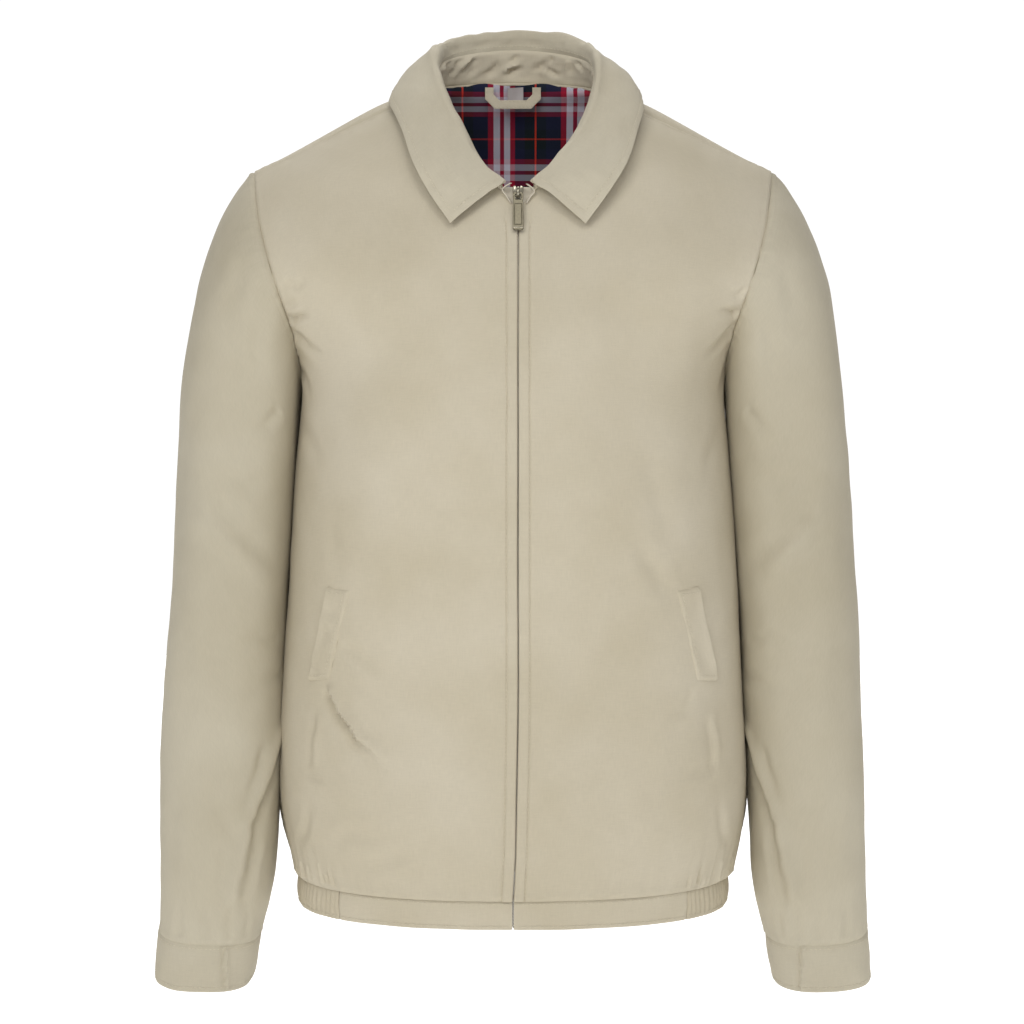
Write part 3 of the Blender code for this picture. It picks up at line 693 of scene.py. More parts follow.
def panel_grid(
    rows: Sequence[Row], corners: Sequence[str], side: int, steps: Sequence[int], near: Sequence[float], columns: int
) -> np.ndarray:
    """The outer face of one panel.

    Args:
        rows: its table.
        corners: where its inner edge turns.
        side: 1 on the wearer's left, -1 on the right.
        steps: the mesh rows from each row to the next.
        near: distances from the inner edge that get mesh columns of their own, first 0.
        columns: even columns from there to the outer edge.

    Returns:
        Mesh rows by columns by xyz.
    """
    inner = edge_of(rows, [row.inner for row in rows], corners, steps)
    outer = edge_of(rows, [row.outer for row in rows], SIDE_CORNERS, steps)
    reach = np.maximum(np.abs(outer[:, :1] - inner[:, :1]), 1e-3)
    inner[:, 0] = side * inner[:, 0] + column(rows, "lean", steps)
    outer[:, 0] *= side
    sweep = np.radians(column(rows, "sweep", steps))[:, None]
    rise = column(rows, "rise", steps)[:, None]
    power = 2 / column(rows, "square", steps)[:, None]
    beside = np.array(near)[None, :] * np.minimum(1, reach * 0.4 / max(near[-1], 1e-9)) / reach
    turned = np.arcsin(np.clip((beside * np.sin(sweep) ** power) ** (1 / power), 0, 1)) / sweep
    even = np.linspace(0, 1, columns + 1)[None, 1:]
    share = np.concatenate([turned, turned[:, -1:] + (1 - turned[:, -1:]) * even], axis=1)
    turn = share * sweep
    along = np.sin(turn) ** power / np.sin(sweep) ** power
    deep = (1 - signed_power(np.cos(turn), power)) / (1 - signed_power(np.cos(sweep), power))
    grid = np.empty((*share.shape, 3))
    for axis, way in enumerate((along, deep, along)):
        grid[:, :, axis] = inner[:, axis, None] + (outer[:, axis] - inner[:, axis])[:, None] * way
    grid[:, :, 2] += rise * np.sin(math.pi * share**2)
    return eased(grid)


def eased(grid: np.ndarray, rounds: int = 80) -> np.ndarray:
    """The grid with the kinks that its outer corners draw across it evened out, and its edges as they were."""
    step = np.linalg.norm(np.diff(grid, axis=1), axis=2)
    across = np.concatenate([np.zeros((len(step), 1)), np.cumsum(step, axis=1)], axis=1)
    inner, outer = 12.0, 26.0
    free = smooth_step(across / inner) * smooth_step((across[:, -1:] - across) / outer)
    for _ in range(rounds):
        middle = (grid[:-2] + grid[2:]) / 2
        grid[1:-1] += (middle - grid[1:-1]) * 0.7 * free[1:-1, :, None]
    return grid


def quads(rows: int, columns: int, closed: bool = False) -> np.ndarray:
    """The faces between the points of a grid, counted row by row, with or without a join round the back."""
    index = np.arange(rows * columns).reshape(rows, columns)
    if closed:
        index = np.concatenate([index, index[:, :1]], axis=1)
    return np.stack([index[:-1, :-1], index[:-1, 1:], index[1:, 1:], index[1:, :-1]], axis=2).reshape(-1, 4)


def bump_of(distance: np.ndarray, width: float) -> np.ndarray:
    """A soft bump that is 1 at distance 0 and gone by about two widths."""
    return np.exp(-((distance / width) ** 2))


def smooth_step(value: np.ndarray) -> np.ndarray:
    """0 up to 0, 1 from 1, and smooth between."""
    value = np.clip(value, 0, 1)
    return value * value * (3 - 2 * value)


def arched(share: np.ndarray, power: float) -> np.ndarray:
    """An arch over the shares from 0 to 1, flatter on top the smaller the power."""
    return np.maximum(np.sin(math.pi * share), 0) ** power


class Crease(NamedTuple):
    """A crease of the cloth, drawn on it as points (x, z) seen from the front or the back."""

    points: tuple[tuple[float, float], ...]
    depth: float
    width: float
    fade: tuple[float, float] = (0.35, 0.35)
    press: Press = Press.TROUGH


@dataclass
class Cloth:
    """A wall of cloth, as a grid of points on its outer face."""

    name: str
    grid: np.ndarray
    wall: float
    flip: bool = False
    closed: bool = False
    finish: Finish = COTTON
    inside: Finish = PLAID
    sewn: tuple[Edge, ...] = ()
    laid_out: np.ndarray | None = None  # the cloth's own distances, where its rows don't follow its threads
    base: np.ndarray = field(init=False)
    normal: np.ndarray = field(init=False)

    def __post_init__(self) -> None:
        """Keeps the smooth form that creases are pressed into."""
        self.base = self.grid.copy()
        self.normal = self.normals()

    def wrapped(self, values: np.ndarray) -> np.ndarray:
        """The grid with a neighbour column on each side where it closes on itself."""
        return np.concatenate([values[:, -1:], values, values[:, :1]], axis=1) if self.closed else values

    def normals(self) -> np.ndarray:
        """Unit normals that point out of the visible face."""
        full = self.wrapped(self.grid)
        across, down = np.gradient(full, axis=1), np.gradient(full, axis=0)
        normal = np.cross(across, down) * (-1 if self.flip else 1)
        length = np.linalg.norm(normal, axis=2, keepdims=True)
        normal = normal / np.maximum(length, 1e-9)
        weak = length[:, :, 0] < 1e-4
        if weak[-1].any():
            normal[-1] = normal[-2]
        return normal[:, 1:-1] if self.closed else normal

    def across(self) -> np.ndarray:
        """Distance from the first column along each mesh row."""
        step = np.linalg.norm(np.diff(self.base, axis=1), axis=2)
        return np.concatenate([np.zeros((len(step), 1)), np.cumsum(step, axis=1)], axis=1)

    def along(self) -> np.ndarray:
        """Distance from the first mesh row along each column."""
        step = np.linalg.norm(np.diff(self.base, axis=0), axis=2)
        return np.concatenate([np.zeros((1, step.shape[1])), np.cumsum(step, axis=0)], axis=0)

    def push(self, height: np.ndarray) -> None:
        """Moves the face out along its normals by the height at each point."""
        self.grid = self.grid + self.normal * height[..., None]

    def laid(self, points: Sequence[tuple[float, float]], facing: int) -> np.ndarray:
        """Points drawn in (x, z) moved onto the face.

        Args:
            points: the line.
            facing: -1 for the part of the face that looks to the front, 1 for the back.

        Returns:
            The points in space, with more between them.
        """
        turned = self.normal[:, :, 1] * facing > -0.25
        flat = self.base[:, :, ::2]
        found = []
        for (x0, z0), (x1, z1) in zip(points, points[1:]):
            pieces = max(2, round(math.hypot(x1 - x0, z1 - z0) / 8))
            for t in np.arange(pieces) / pieces:
                found.append((x0 + (x1 - x0) * t, z0 + (z1 - z0) * t))
        found.append(points[-1])
        places = []
        for place in found:
            far = ((flat - place) ** 2).sum(axis=2) + np.where(turned, 0, 1e6)
            places.append(self.base[np.unravel_index(far.argmin(), far.shape)])
        kept = [places[0]] + [b for a, b in zip(places, places[1:]) if np.linalg.norm(b - a) > 0.5]
        return np.array(kept)

    def from_line(self, line: np.ndarray) -> tuple[np.ndarray, np.ndarray]:
        """Distances of every point of the face from a line on it.

        Args:
            line: the line's points.

        Returns:
            The distance, signed by the side that the point lies on, and how far along the line it is, in mm.
        """
        best = np.full(self.base.shape[:2], 1e9)
        where = np.zeros(self.base.shape[:2])
        walked = 0.0
        for start, end in zip(line, line[1:]):
            way = end - start
            length = float(np.linalg.norm(way))
            if length < 1e-6:
                continue
            offset = self.base - start
            t = np.clip(offset @ way / length**2, 0, 1)
            gap = offset - t[..., None] * way
            distance = np.linalg.norm(gap, axis=2)
            side = np.sign(np.einsum("ijk,ijk->ij", np.cross(way / length, gap), self.normal))
            nearer = distance < np.abs(best)
            best = np.where(nearer, np.where(side == 0, 1, side) * distance, best)
            where = np.where(nearer, walked + t * length, where)
            walked += length
        return best, where

    def crease(self, creases: Sequence[Crease], facing: int, mirror: int = 1) -> None:
        """Presses a table of creases into the face.

        Args:
            creases: the table.
            facing: -1 for the front, 1 for the back.
            mirror: -1 to draw them on the other side of the body.
        """
        total = np.zeros(self.base.shape[:2])
        for one in creases:
            line = self.laid([(mirror * x, z) for x, z in one.points], facing)
            if len(line) < 2:
                continue
            distance, along = self.from_line(line)
            length = float(np.linalg.norm(np.diff(line, axis=0), axis=1).sum())
            t = distance / one.width
            if one.press is Press.STEP:
                shape = t * np.exp(0.5 - 0.5 * t * t) * mirror
            else:
                shape = (np.exp(-t * t) - 0.3 * np.exp(-((np.abs(t) - 1.9) ** 2))) * (
                    1 if one.press is Press.RIDGE else -1
                )
            start, end = one.fade
            strength = smooth_step(along / (start * length)) * smooth_step((length - along) / (end * length))
            total += CREASE_SCALE * one.depth * shape * strength
        self.push(total)

    def ripple(
        self, seed: int, wavelength: float, height: float, stretch: tuple[float, float, float] = (1, 1, 1)
    ) -> None:
        """Gives the face slow waves, the slack of cloth that nothing pulls tight.

        Args:
            seed: of the random draw.
            wavelength: of the longest waves.
            height: of the waves.
            stretch: how much longer the waves are along x, y and z.
        """
        draw = np.random.default_rng(seed)
        total = np.zeros(self.base.shape[:2])
        count = 14
        for _ in range(count):
            way = draw.normal(size=3)
            way /= np.linalg.norm(way) * wavelength * draw.uniform(0.5, 1.0) * np.array(stretch)
            total += np.sin(math.tau * (self.base @ way) + draw.uniform(0, math.tau))
        self.push(total * height / math.sqrt(count))

    def pucker(self, line: np.ndarray, seed: int, spacing: float, depth: float, width: float) -> None:
        """Draws the cloth up beside a seam, in short uneven waves.

        Args:
            line: the seam.
            seed: of the random draw.
            spacing: mean distance from wave to wave.
            depth: of the waves at the seam.
            width: how far from the seam they die out.
        """
        distance, along = self.from_line(line)
        draw = np.random.default_rng(seed)
        wave = np.zeros_like(distance)
        for factor, share in ((1.0, 0.5), (0.62, 0.35), (1.7, 0.3)):
            phase = draw.uniform(0, math.tau)
            bend = draw.uniform(0.3, 0.8)
            wave += share * np.sin(math.tau * along / (spacing * factor) + phase + bend * np.sin(along / 17 + phase))
        away = np.abs(distance) / width
        self.push(depth * wave * np.minimum(away * 4, 1) * np.exp(-away))

    def gap_to(self, edge: Edge) -> np.ndarray:
        """Distances on the cloth from one of its edges."""
        across, along = self.across(), self.along()
        return {
            Edge.LAST: across[:, -1:] - across, Edge.LOW: along, Edge.HIGH: along[-1:] - along,
        }[edge]

    def sew(self, roll: float = 0.8, ridge: float = 0.5) -> None:
        """Holds the sewn edges in their seams: creases end there, and the edge rolls in.

        Args:
            roll: how deep the edge goes in.
            ridge: the height of the seam allowance that shows through behind it.
        """
        gaps = [self.gap_to(edge) for edge in self.sewn]
        free = smooth_step(np.minimum.reduce(gaps) / 6)
        self.grid = self.base + (self.grid - self.base) * free[..., None]
        for gap in gaps:
            self.push(-roll * bump_of(gap, 1.1) + ridge * bump_of(gap - 4.2, 2.2) - 0.3 * bump_of(gap - 6.6, 0.7))

    def path(self, rows: Sequence[float] | np.ndarray, columns: Sequence[float] | np.ndarray) -> np.ndarray:
        """Points and normals of the creased face at fractional rows and columns.

        Args:
            rows: mesh rows.
            columns: mesh columns.

        Returns:
            An array of (point, normal) pairs.
        """
        rows, columns = np.broadcast_arrays(np.asarray(rows, float), np.asarray(columns, float))
        count = self.grid.shape[1]
        i = np.clip(rows.astype(int), 0, self.grid.shape[0] - 2)
        j = columns.astype(int) % count if self.closed else np.clip(columns.astype(int), 0, count - 2)
        k = (j + 1) % count
        u, v = (rows - i)[:, None], (columns - np.floor(columns) if self.closed else columns - j)[:, None]
        found = []
        for values in (self.grid, self.normal):
            low = values[i, j] * (1 - v) + values[i, k] * v
            high = values[i + 1, j] * (1 - v) + values[i + 1, k] * v
            found.append(low * (1 - u) + high * u)
        return np.stack(found, axis=1)

    def distances(self) -> np.ndarray:
        """The cloth's own distances in metres at every point, for its weave."""
        if self.laid_out is not None:
            return self.laid_out
        across, along = self.across(), self.along()
        middle = len(across) // 2
        return np.stack([across[middle][None, :] + 0 * along, along], axis=2) * MM

    def make(self, mirrored: bool = False) -> bpy.types.Object:
        """Builds the wall.

        Args:
            mirrored: whether the mirror image in x is sewn on along the first column.

        Returns:
            The object.
        """
        faces = quads(*self.grid.shape[:2], self.closed)
        faces = faces[:, ::-1] if self.flip else faces
        points, places = self.grid.reshape(-1, 3), self.distances().reshape(-1, 2)
        if mirrored:
            faces = np.concatenate([faces, faces[:, ::-1] + len(points)])
            points = np.concatenate([points, points * (-1, 1, 1)])
            places = np.concatenate([places, places * (-1, 1)])
        return wall_object(self.name, points, faces, places, self.wall, (self.finish, self.inside))


def lay(
    cloth: Cloth, node: str | None,
    mirrored: bool = False,
) -> bpy.types.Object:
    """Args:
        cloth: the cloth.
        node: the solid that it stands for.
        mirrored: whether its mirror image is sewn on.

    Returns:
        The object.
    """
    obj = fix(cloth.make(mirrored), cloth.finish, *([node] if node else []))
    return obj


def wall_object(
    name: str, points: np.ndarray, faces: np.ndarray, places: np.ndarray, wall: float, finishes: Sequence[Finish]
) -> bpy.types.Object:
    """A closed wall behind a sheet of points.

    Args:
        name: of the object.
        points: the visible face's points in millimetres.
        faces: its quads.
        places: the cloth's own distances at the points, in metres.
        wall: the thickness.
        finishes: of the visible face and of the one behind it.

    Returns:
        The object.
    """
    mesh = bpy.data.meshes.new(name)
    mesh.from_pydata((points * MM).tolist(), [], faces.tolist())
    uv = mesh.uv_layers.new(name=CLOTH_UV)
    corner = np.empty(len(mesh.loops), np.int32)
    mesh.loops.foreach_get("vertex_index", corner)
    uv.data.foreach_set("uv", places[corner].astype(np.float32).ravel())
    built = bmesh.new()
    built.from_mesh(mesh)
    bmesh.ops.remove_doubles(built, verts=built.verts, dist=0.01 * MM)
    bmesh.ops.dissolve_degenerate(built, edges=built.edges, dist=0.005 * MM)
    built.to_mesh(mesh)
    built.free()
    mesh.shade_smooth()
    obj = bpy.data.objects.new(name, mesh)
    bpy.context.scene.collection.objects.link(obj)
    for finish in finishes:
        mesh.materials.append(finish.material())
    solid = obj.modifiers.new("wall", "SOLIDIFY")
    solid.thickness = wall * MM
    solid.offset = -1
    solid.material_offset = 1
    split = obj.modifiers.new("edges", "EDGE_SPLIT")
    split.split_angle = math.radians(50)
    split.use_edge_sharp = False
    return obj


def plain_object(name: str, points: np.ndarray, faces: Sequence, finish: Finish, angle: float = 40) -> bpy.types.Object:
    """A mesh of closed shapes.

    Args:
        name: of the object.
        points: in millimetres.
        faces: its faces.
        finish: its finish.
        angle: the angle over which an edge is sharp, in degrees.

    Returns:
        The object.
    """
    mesh = bpy.data.meshes.new(name)
    mesh.from_pydata((np.asarray(points) * MM).tolist(), [], [list(map(int, face)) for face in faces])
    mesh.shade_smooth()
    mesh.set_sharp_from_angle(angle=math.radians(angle))
    obj = bpy.data.objects.new(name, mesh)
    bpy.context.scene.collection.objects.link(obj)
    mesh.materials.append(finish.material())
    return obj


def fix(obj: bpy.types.Object, finish: Finish, *nodes: str, body: str = GARMENT) -> bpy.types.Object:
    """Hands a finished piece to the frame.

    Args:
        obj: the piece.
        finish: its finish, not used.
        nodes: the solids that it stands for.
        body: what it moves with.

    Returns:
        The piece.
    """
    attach(obj, body)
    if nodes:
        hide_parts(*nodes)
    LOG.info("%s: %d points, on %s", obj.name, len(obj.data.vertices), body)
    return obj


# -------------------- Sewing


@dataclass
class Sewing:
    """A run of lockstitches, each a thread that dips into the cloth at both ends."""

    name: str
    length: float = 2.6
    gap: float = 0.8
    radius: float = 0.3
    points: list[np.ndarray] = field(default_factory=list)

    def run(self, line: np.ndarray) -> None:
        """Adds a run of stitches.

        Args:
            line: (point, normal) pairs on the cloth.
        """
        place, normal = line[:, 0], line[:, 1]
        far = np.concatenate([[0], np.cumsum(np.linalg.norm(np.diff(place, axis=0), axis=1))])
        starts = np.arange(self.gap, far[-1] - self.length, self.length + self.gap)
        if not len(starts):
            return
        stations = np.array([0.0, 0.22, 0.78, 1.0]) * self.length
        lifts = np.array([-0.35, 0.35, 0.35, -0.35]) * self.radius * 2
        sizes = np.array([0.45, 1.0, 1.0, 0.45]) * self.radius
        at = starts[:, None] + stations[None, :]
        middle = np.stack([np.interp(at, far, place[:, k]) for k in range(3)], axis=2)
        up = np.stack([np.interp(at, far, normal[:, k]) for k in range(3)], axis=2)
        up /= np.maximum(np.linalg.norm(up, axis=2, keepdims=True), 1e-9)
        way = middle[:, -1:] - middle[:, :1]
        way = way / np.maximum(np.linalg.norm(way, axis=2, keepdims=True), 1e-9)
        beside = np.cross(way, up)
        middle = middle + up * lifts[None, :, None]
        ring = []
        for turn in np.radians((0, 90, 180, 270)):
            ring.append(middle + (beside * math.cos(turn) + up * math.sin(turn)) * sizes[None, :, None])
        self.points.append(np.stack(ring, axis=2).reshape(-1, 16, 3))

    def make(self) -> bpy.types.Object | None:
        """Builds the stitches as one piece."""
        if not self.points:
            return None
        every = np.concatenate(self.points)
        faces = [
            (4 * i + k, 4 * i + (k + 1) % 4, 4 * i + 4 + (k + 1) % 4, 4 * i + 4 + k) for i in range(3) for k in range(4)
        ]
        faces += [(3, 2, 1, 0), (12, 13, 14, 15)]
        pattern = np.array(faces)
        quads = (pattern[None] + 16 * np.arange(len(every))[:, None, None]).reshape(-1, 4)
        obj = plain_object(self.name, every.reshape(-1, 3), quads, THREAD, angle=80)
        return fix(obj, THREAD)


# -------------------- Sub-assemblies of the jacket

# Distances from the folded front edge that get mesh columns of their own: the fold, the placket and
# the two sides of its stitched groove.
PLACKET = (0.0, 0.25, 0.7, 1.4, 2.6, 4.6, 6.6, 7.7, 8.25, 8.75, 9.25, 9.9, 11.2, 13.2)
PLACKET_STITCH = 9  # the column under the stitches

FRONT_RIGHT_CREASES = (
    Crease(((-150, -470), (-136, -496), (-117, -516), (-90, -536)), 3.0, 3.6, (0.1, 0.55), Press.STEP),
    Crease(((-140, -433), (-121, -442), (-105, -452), (-88, -465)), 0.9, 5, (0.2, 0.6)),
    Crease(((-141, -443), (-129, -462), (-114, -480)), 0.8, 4.5, (0.2, 0.6)),
    Crease(((-157, -490), (-160, -515), (-161, -542)), 0.9, 3.5, (0.2, 0.2), Press.STEP),
    Crease(((-168, -541), (-160, -545), (-149, -549)), 1.0, 3),
    Crease(((-153, -602), (-128, -586), (-94, -590)), 0.8, 6),
    Crease(((-119, -614), (-100, -606), (-80, -598)), 0.8, 6),
    Crease(((-186, -176), (-176, -179), (-158, -174)), 2.2, 3.0, (0.05, 0.5)),
    Crease(((-183, -166), (-176, -167), (-168, -163)), 0.9, 2.4, (0.1, 0.5)),
    Crease(((-184, -184), (-170, -195), (-146, -212)), 1.9, 4.5, (0.05, 0.6)),
    Crease(((-180, -206), (-168, -226), (-160, -252)), 1.2, 5, (0.1, 0.6)),
    Crease(((-181, -150), (-172, -152), (-160, -146)), 1.0, 3, (0.05, 0.5)),
    Crease(((-172, -262), (-164, -277), (-150, -298)), 0.8, 7),
    Crease(((-97, -360), (-80, -390), (-56, -430)), 0.7, 11),
    Crease(((-60, -150), (-90, -190), (-130, -215)), 0.6, 14),
    Crease(((-150, -330), (-138, -365), (-134, -388)), 0.7, 8),
    Crease(((-12, -470), (-34, -500), (-48, -545)), 0.5, 9),
    Crease(((-176, -610), (-166, -585), (-163, -560)), 1.0, 4.5),
)
FRONT_LEFT_CREASES = (
    Crease(((100, -262), (111, -305), (122, -356)), 0.8, 9),
    Crease(((95, -345), (114, -380), (131, -405)), 1.0, 7),
    Crease(((37, -428), (45, -455), (53, -482)), 0.6, 9),
    Crease(((188, -165), (178, -173), (160, -171)), 2.0, 3.0, (0.05, 0.5)),
    Crease(((186, -155), (178, -160), (170, -157)), 0.9, 2.4, (0.1, 0.5)),
    Crease(((185, -180), (172, -192), (150, -213)), 1.8, 4.5, (0.05, 0.6)),
    Crease(((182, -200), (170, -220), (164, -248)), 1.2, 5, (0.1, 0.6)),
    Crease(((130, -537), (150, -537), (174, -530)), 0.8, 5),
    Crease(((116, -614), (134, -602), (152, -590)), 0.8, 6),
    Crease(((158, -492), (162, -520), (164, -545)), 0.9, 3.5, (0.2, 0.2), Press.STEP),
    Crease(((146, -474), (136, -486), (118, -494)), 0.9, 4.5, (0.15, 0.6)),
    Crease(((170, -262), (160, -282), (150, -310)), 0.7, 7),
    Crease(((66, -520), (80, -550), (86, -590)), 0.5, 9),
    Crease(((56, -140), (84, -170), (124, -190)), 0.5, 14),
    Crease(((176, -612), (168, -588), (165, -562)), 1.0, 4.5),
)
BACK_CREASES = (
    Crease(((176, -190), (150, -206), (118, -214)), 1.3, 6, (0.1, 0.6)),
    Crease(((178, -170), (160, -178), (136, -180)), 1.0, 5, (0.1, 0.6)),
    Crease(((120, -260), (132, -320), (128, -380)), 0.8, 10),
    Crease(((60, -420), (84, -460), (92, -520)), 0.7, 11),
    Crease(((150, -560), (120, -580), (84, -584)), 0.9, 7),
    Crease(((30, -590), (60, -602), (100, -600)), 0.7, 7),
    Crease(((0, -130), (40, -136), (90, -128)), 0.6, 9),
    Crease(((160, -430), (150, -470), (156, -520)), 0.8, 7),
)
SLEEVE_FRONT_CREASES = (
    Crease(((253, -296), (236, -334), (218, -357), (190, -388)), 1.3, 8, press=Press.STEP),
    Crease(((260, -344), (236, -369), (205, -412)), 0.9, 8),
    Crease(((238, -298), (212, -310), (186, -300)), 0.9, 7),
    Crease(((187, -500), (196, -546), (211, -590), (227, -664)), 2.2, 4.6, (0.1, 0.1), Press.STEP),
    Crease(((200, -520), (206, -548), (219, -580)), 1.1, 4.0, (0.3, 0.5)),
    Crease(((204, -600), (212, -622), (216, -650)), 1.0, 3.2, (0.3, 0.3)),
    Crease(((236, -600), (238, -630), (234, -655)), 0.8, 4.0, (0.3, 0.3)),
    Crease(((250, -545), (234, -584), (221, -622)), 0.8, 7),
    Crease(((282, -560), (276, -600), (279, -640)), 0.6, 7),
    Crease(((270, -648), (272, -660), (272, -684)), 0.9, 3.2, (0.6, 0.05)),
    Crease(((250, -640), (250, -660), (249, -688)), 1.0, 3.4, (0.6, 0.05)),
    Crease(((230, -646), (231, -660), (233, -688)), 0.9, 3.0, (0.6, 0.05)),
    Crease(((217, -655), (218, -668), (220, -688)), 0.9, 2.6, (0.6, 0.05)),
    Crease(((200, -176), (206, -204), (200, -240)), 1.0, 6, (0.2, 0.6)),
    Crease(((212, -130), (222, -160), (222, -196)), 0.8, 7, (0.3, 0.6)),
    Crease(((187, -250), (196, -262), (212, -268)), 1.2, 5, (0.1, 0.6)),
    Crease(((190, -440), (206, -436), (226, -446)), 0.9, 5, (0.1, 0.6)),
    Crease(((188, -470), (208, -476), (238, -470)), 0.8, 6, (0.1, 0.6)),
    Crease(((270, -420), (262, -470), (266, -520)), 0.6, 8),
)
SLEEVE_BACK_CREASES = (
    Crease(((188, -260), (206, -276), (236, -280)), 1.2, 6, (0.1, 0.6)),
    Crease(((274, -372), (250, -384), (216, -380)), 1.4, 6, press=Press.STEP),
    Crease(((276, -400), (248, -408), (206, -420)), 1.1, 6),
    Crease(((272, -350), (240, -352), (210, -344)), 0.9, 7),
    Crease(((214, -150), (228, -180), (226, -230)), 0.9, 7, (0.3, 0.6)),
    Crease(((240, -560), (230, -600), (236, -650)), 0.7, 7),
    Crease(((262, -640), (262, -662), (261, -688)), 0.9, 3.2, (0.6, 0.05)),
    Crease(((238, -640), (239, -662), (240, -688)), 0.9, 3.2, (0.6, 0.05)),
)
SHELL_ROW, SHELL_COLUMNS = 2.8, 76


@dataclass
class Fronts:
    """The two front panels, with the folded plackets that meet over the zip."""

    gather_from: float = 132.0  # x at which the elastic of the hem starts to draw the cloth up
    cloths: dict[int, Cloth] = field(default_factory=dict)

    def cut(self) -> None:
        """Lays out both panels and presses them."""
        steps = fine_steps(FRONT_ROWS, SHELL_ROW)
        for side, label in Sides:
            grid = panel_grid(FRONT_ROWS, FRONT_CORNERS, side, steps, PLACKET, SHELL_COLUMNS)
            cloth = Cloth(f"front_panel_{label}", grid, SHELL_WALL, flip=side < 0, sewn=(Edge.LAST, Edge.LOW))
            self.cloths[side] = cloth
            seam = cloth.base[:, -1]
            cloth.pucker(seam[::3], 11 + side, 10, 0.8, 6)
            edge = cloth.base[cloth.base[:, 0, 2] < -100, PLACKET_STITCH]
            cloth.pucker(edge[::3], 21 + side, 13, 0.22, 5)
            self.gather(cloth, side)
            cloth.crease(FRONT_LEFT_CREASES if side > 0 else FRONT_RIGHT_CREASES, facing=-1)
            cloth.ripple(31 + side, 120, 0.9, (1, 1, 2))
            cloth.ripple(41 + side, 38, 0.2, (1, 1, 1.6))
            cloth.sew()
            zipped = smooth_step((-88 - cloth.base[:, :, 2]) / 14)
            d = cloth.across()
            puff = 0.5 * (np.tanh((d - 0.2) / 0.5) - np.tanh((d - 8.1) / 0.5)) * 0.55
            cloth.push(zipped * (puff - 0.8 * bump_of(d, 0.45) - 0.8 * bump_of(d - 8.75, 0.6)))

    def gather(self, cloth: Cloth, side: int) -> None:
        """Draws the panel up into small folds over the elastic of the hem.

        Args:
            cloth: the panel.
            side: 1 on the wearer's left.
        """
        x, z = np.abs(cloth.base[:, :, 0]), cloth.base[:, :, 2]
        drawn = smooth_step((x - self.gather_from) / 22)
        reach = cloth.across()[2][None, :]
        waves = np.sin(reach * 0.62 + side) * 0.7 + np.sin(reach * 0.37 + 2.2 * side) * 0.6 + np.sin(reach * 1.1)
        fall = np.exp(-(z + 638) / 13)
        cloth.push(1.7 * waves * (0.35 + drawn) * fall)
        sag = np.sin(reach * 0.21 + side) * 0.6 + np.sin(reach * 0.083) * 0.5
        cloth.grid[:, :, 2] += sag * (0.4 + drawn) * np.exp(-(z + 640) / 6)

    def build(self, trim: Sewing) -> None:
        """Makes the panels and stitches their plackets.

        Args:
            trim: the sewing of the shell.
        """
        for side, label in Sides:
            cloth = self.cloths[side]
            lay(cloth, f"front_{label}")
            rows = np.nonzero(cloth.base[:, 0, 2] < -94)[0]
            rows = rows[(cloth.base[rows, 0, 2] > -637)]
            trim.run(cloth.path(rows, np.full(len(rows), float(PLACKET_STITCH))))


@dataclass
class Back:
    """The back panel and the lining that shows inside the neck."""

    cloth: Cloth = field(init=False)
    lining: Cloth = field(init=False)
    crossing_z: float = -63.4  # where two bars of the check cross behind the neck

    def straighten(self) -> None:
        """Lays the lining's checks level and plumb, as its own panel was cut, whatever its rows do."""
        grid = self.lining.grid
        rows = np.nonzero(grid[:, 0, 0] < 1e-6)[0]
        widest = int(np.argmax(grid[:, -1, 0]))
        arc = self.lining.across()[widest]
        u = np.interp(grid[:, :, 0], grid[widest, :, 0], arc)
        far, heights = self.lining.along()[rows, 0], grid[rows, 0, 2]
        v = np.interp(grid[:, :, 2], heights, far) - np.interp(self.crossing_z, heights, far)
        above = np.maximum(grid[:, :, 2] - heights[-1], 0)
        self.lining.laid_out = np.stack([u, v + above], axis=2) * MM

    def cut(self) -> None:
        """Lays out the panel and its lining."""
        steps = fine_steps(BACK_ROWS, SHELL_ROW)
        grid = panel_grid(BACK_ROWS, BACK_CORNERS, 1, steps, (0.0,), SHELL_COLUMNS)
        self.cloth = Cloth("back_panel", grid, SHELL_WALL, flip=True, sewn=(Edge.LAST, Edge.LOW))
        steps = fine_steps(BACK_ROWS, 5.0)
        inner = Cloth("lining", panel_grid(BACK_ROWS, BACK_CORNERS, 1, steps, (0.0,), 44), LINING_WALL, flip=True)
        grid = inner.grid - inner.normal * (SHELL_WALL + LINING_GAP)
        grid[:, 0, 0] = np.where(inner.base[:, 0, 0] == 0, 0, grid[:, 0, 0])
        grid[:, -1] = grid[:, -2] * 0.15 + grid[:, -1] * 0.85
        self.lining = Cloth("plaid_back_lining", grid[3:-5], LINING_WALL, flip=True, finish=PLAID, inside=PLAID)
        self.straighten()

    def build(self) -> None:
        """Presses and makes both."""
        cloth = self.cloth
        cloth.pucker(cloth.base[::3, -1], 51, 9, 0.45, 7)
        middle = smooth_step(cloth.across() / 30)
        reach, z = cloth.across()[2][None, :], cloth.base[:, :, 2]
        waves = np.sin(reach * 0.6) * 0.7 + np.sin(reach * 0.35 + 1.0) * 0.6
        drawn = smooth_step((np.abs(cloth.base[:, :, 0]) - 120) / 30)
        cloth.push(1.5 * waves * (0.25 * middle + drawn) * np.exp(-(z + 638) / 13))
        cloth.crease(BACK_CREASES, facing=1)
        keep = cloth.grid.copy()
        cloth.ripple(52, 130, 1.0, (1, 1, 2))
        cloth.grid = keep * (1 - middle[..., None]) + cloth.grid * middle[..., None]
        cloth.sew()
        cloth.grid[:, 0, 0] = np.where(cloth.base[:, 0, 0] == 0, 0, cloth.grid[:, 0, 0])
        lay(cloth, "back", mirrored=True)
        lay(self.lining, "back_lining", mirrored=True)


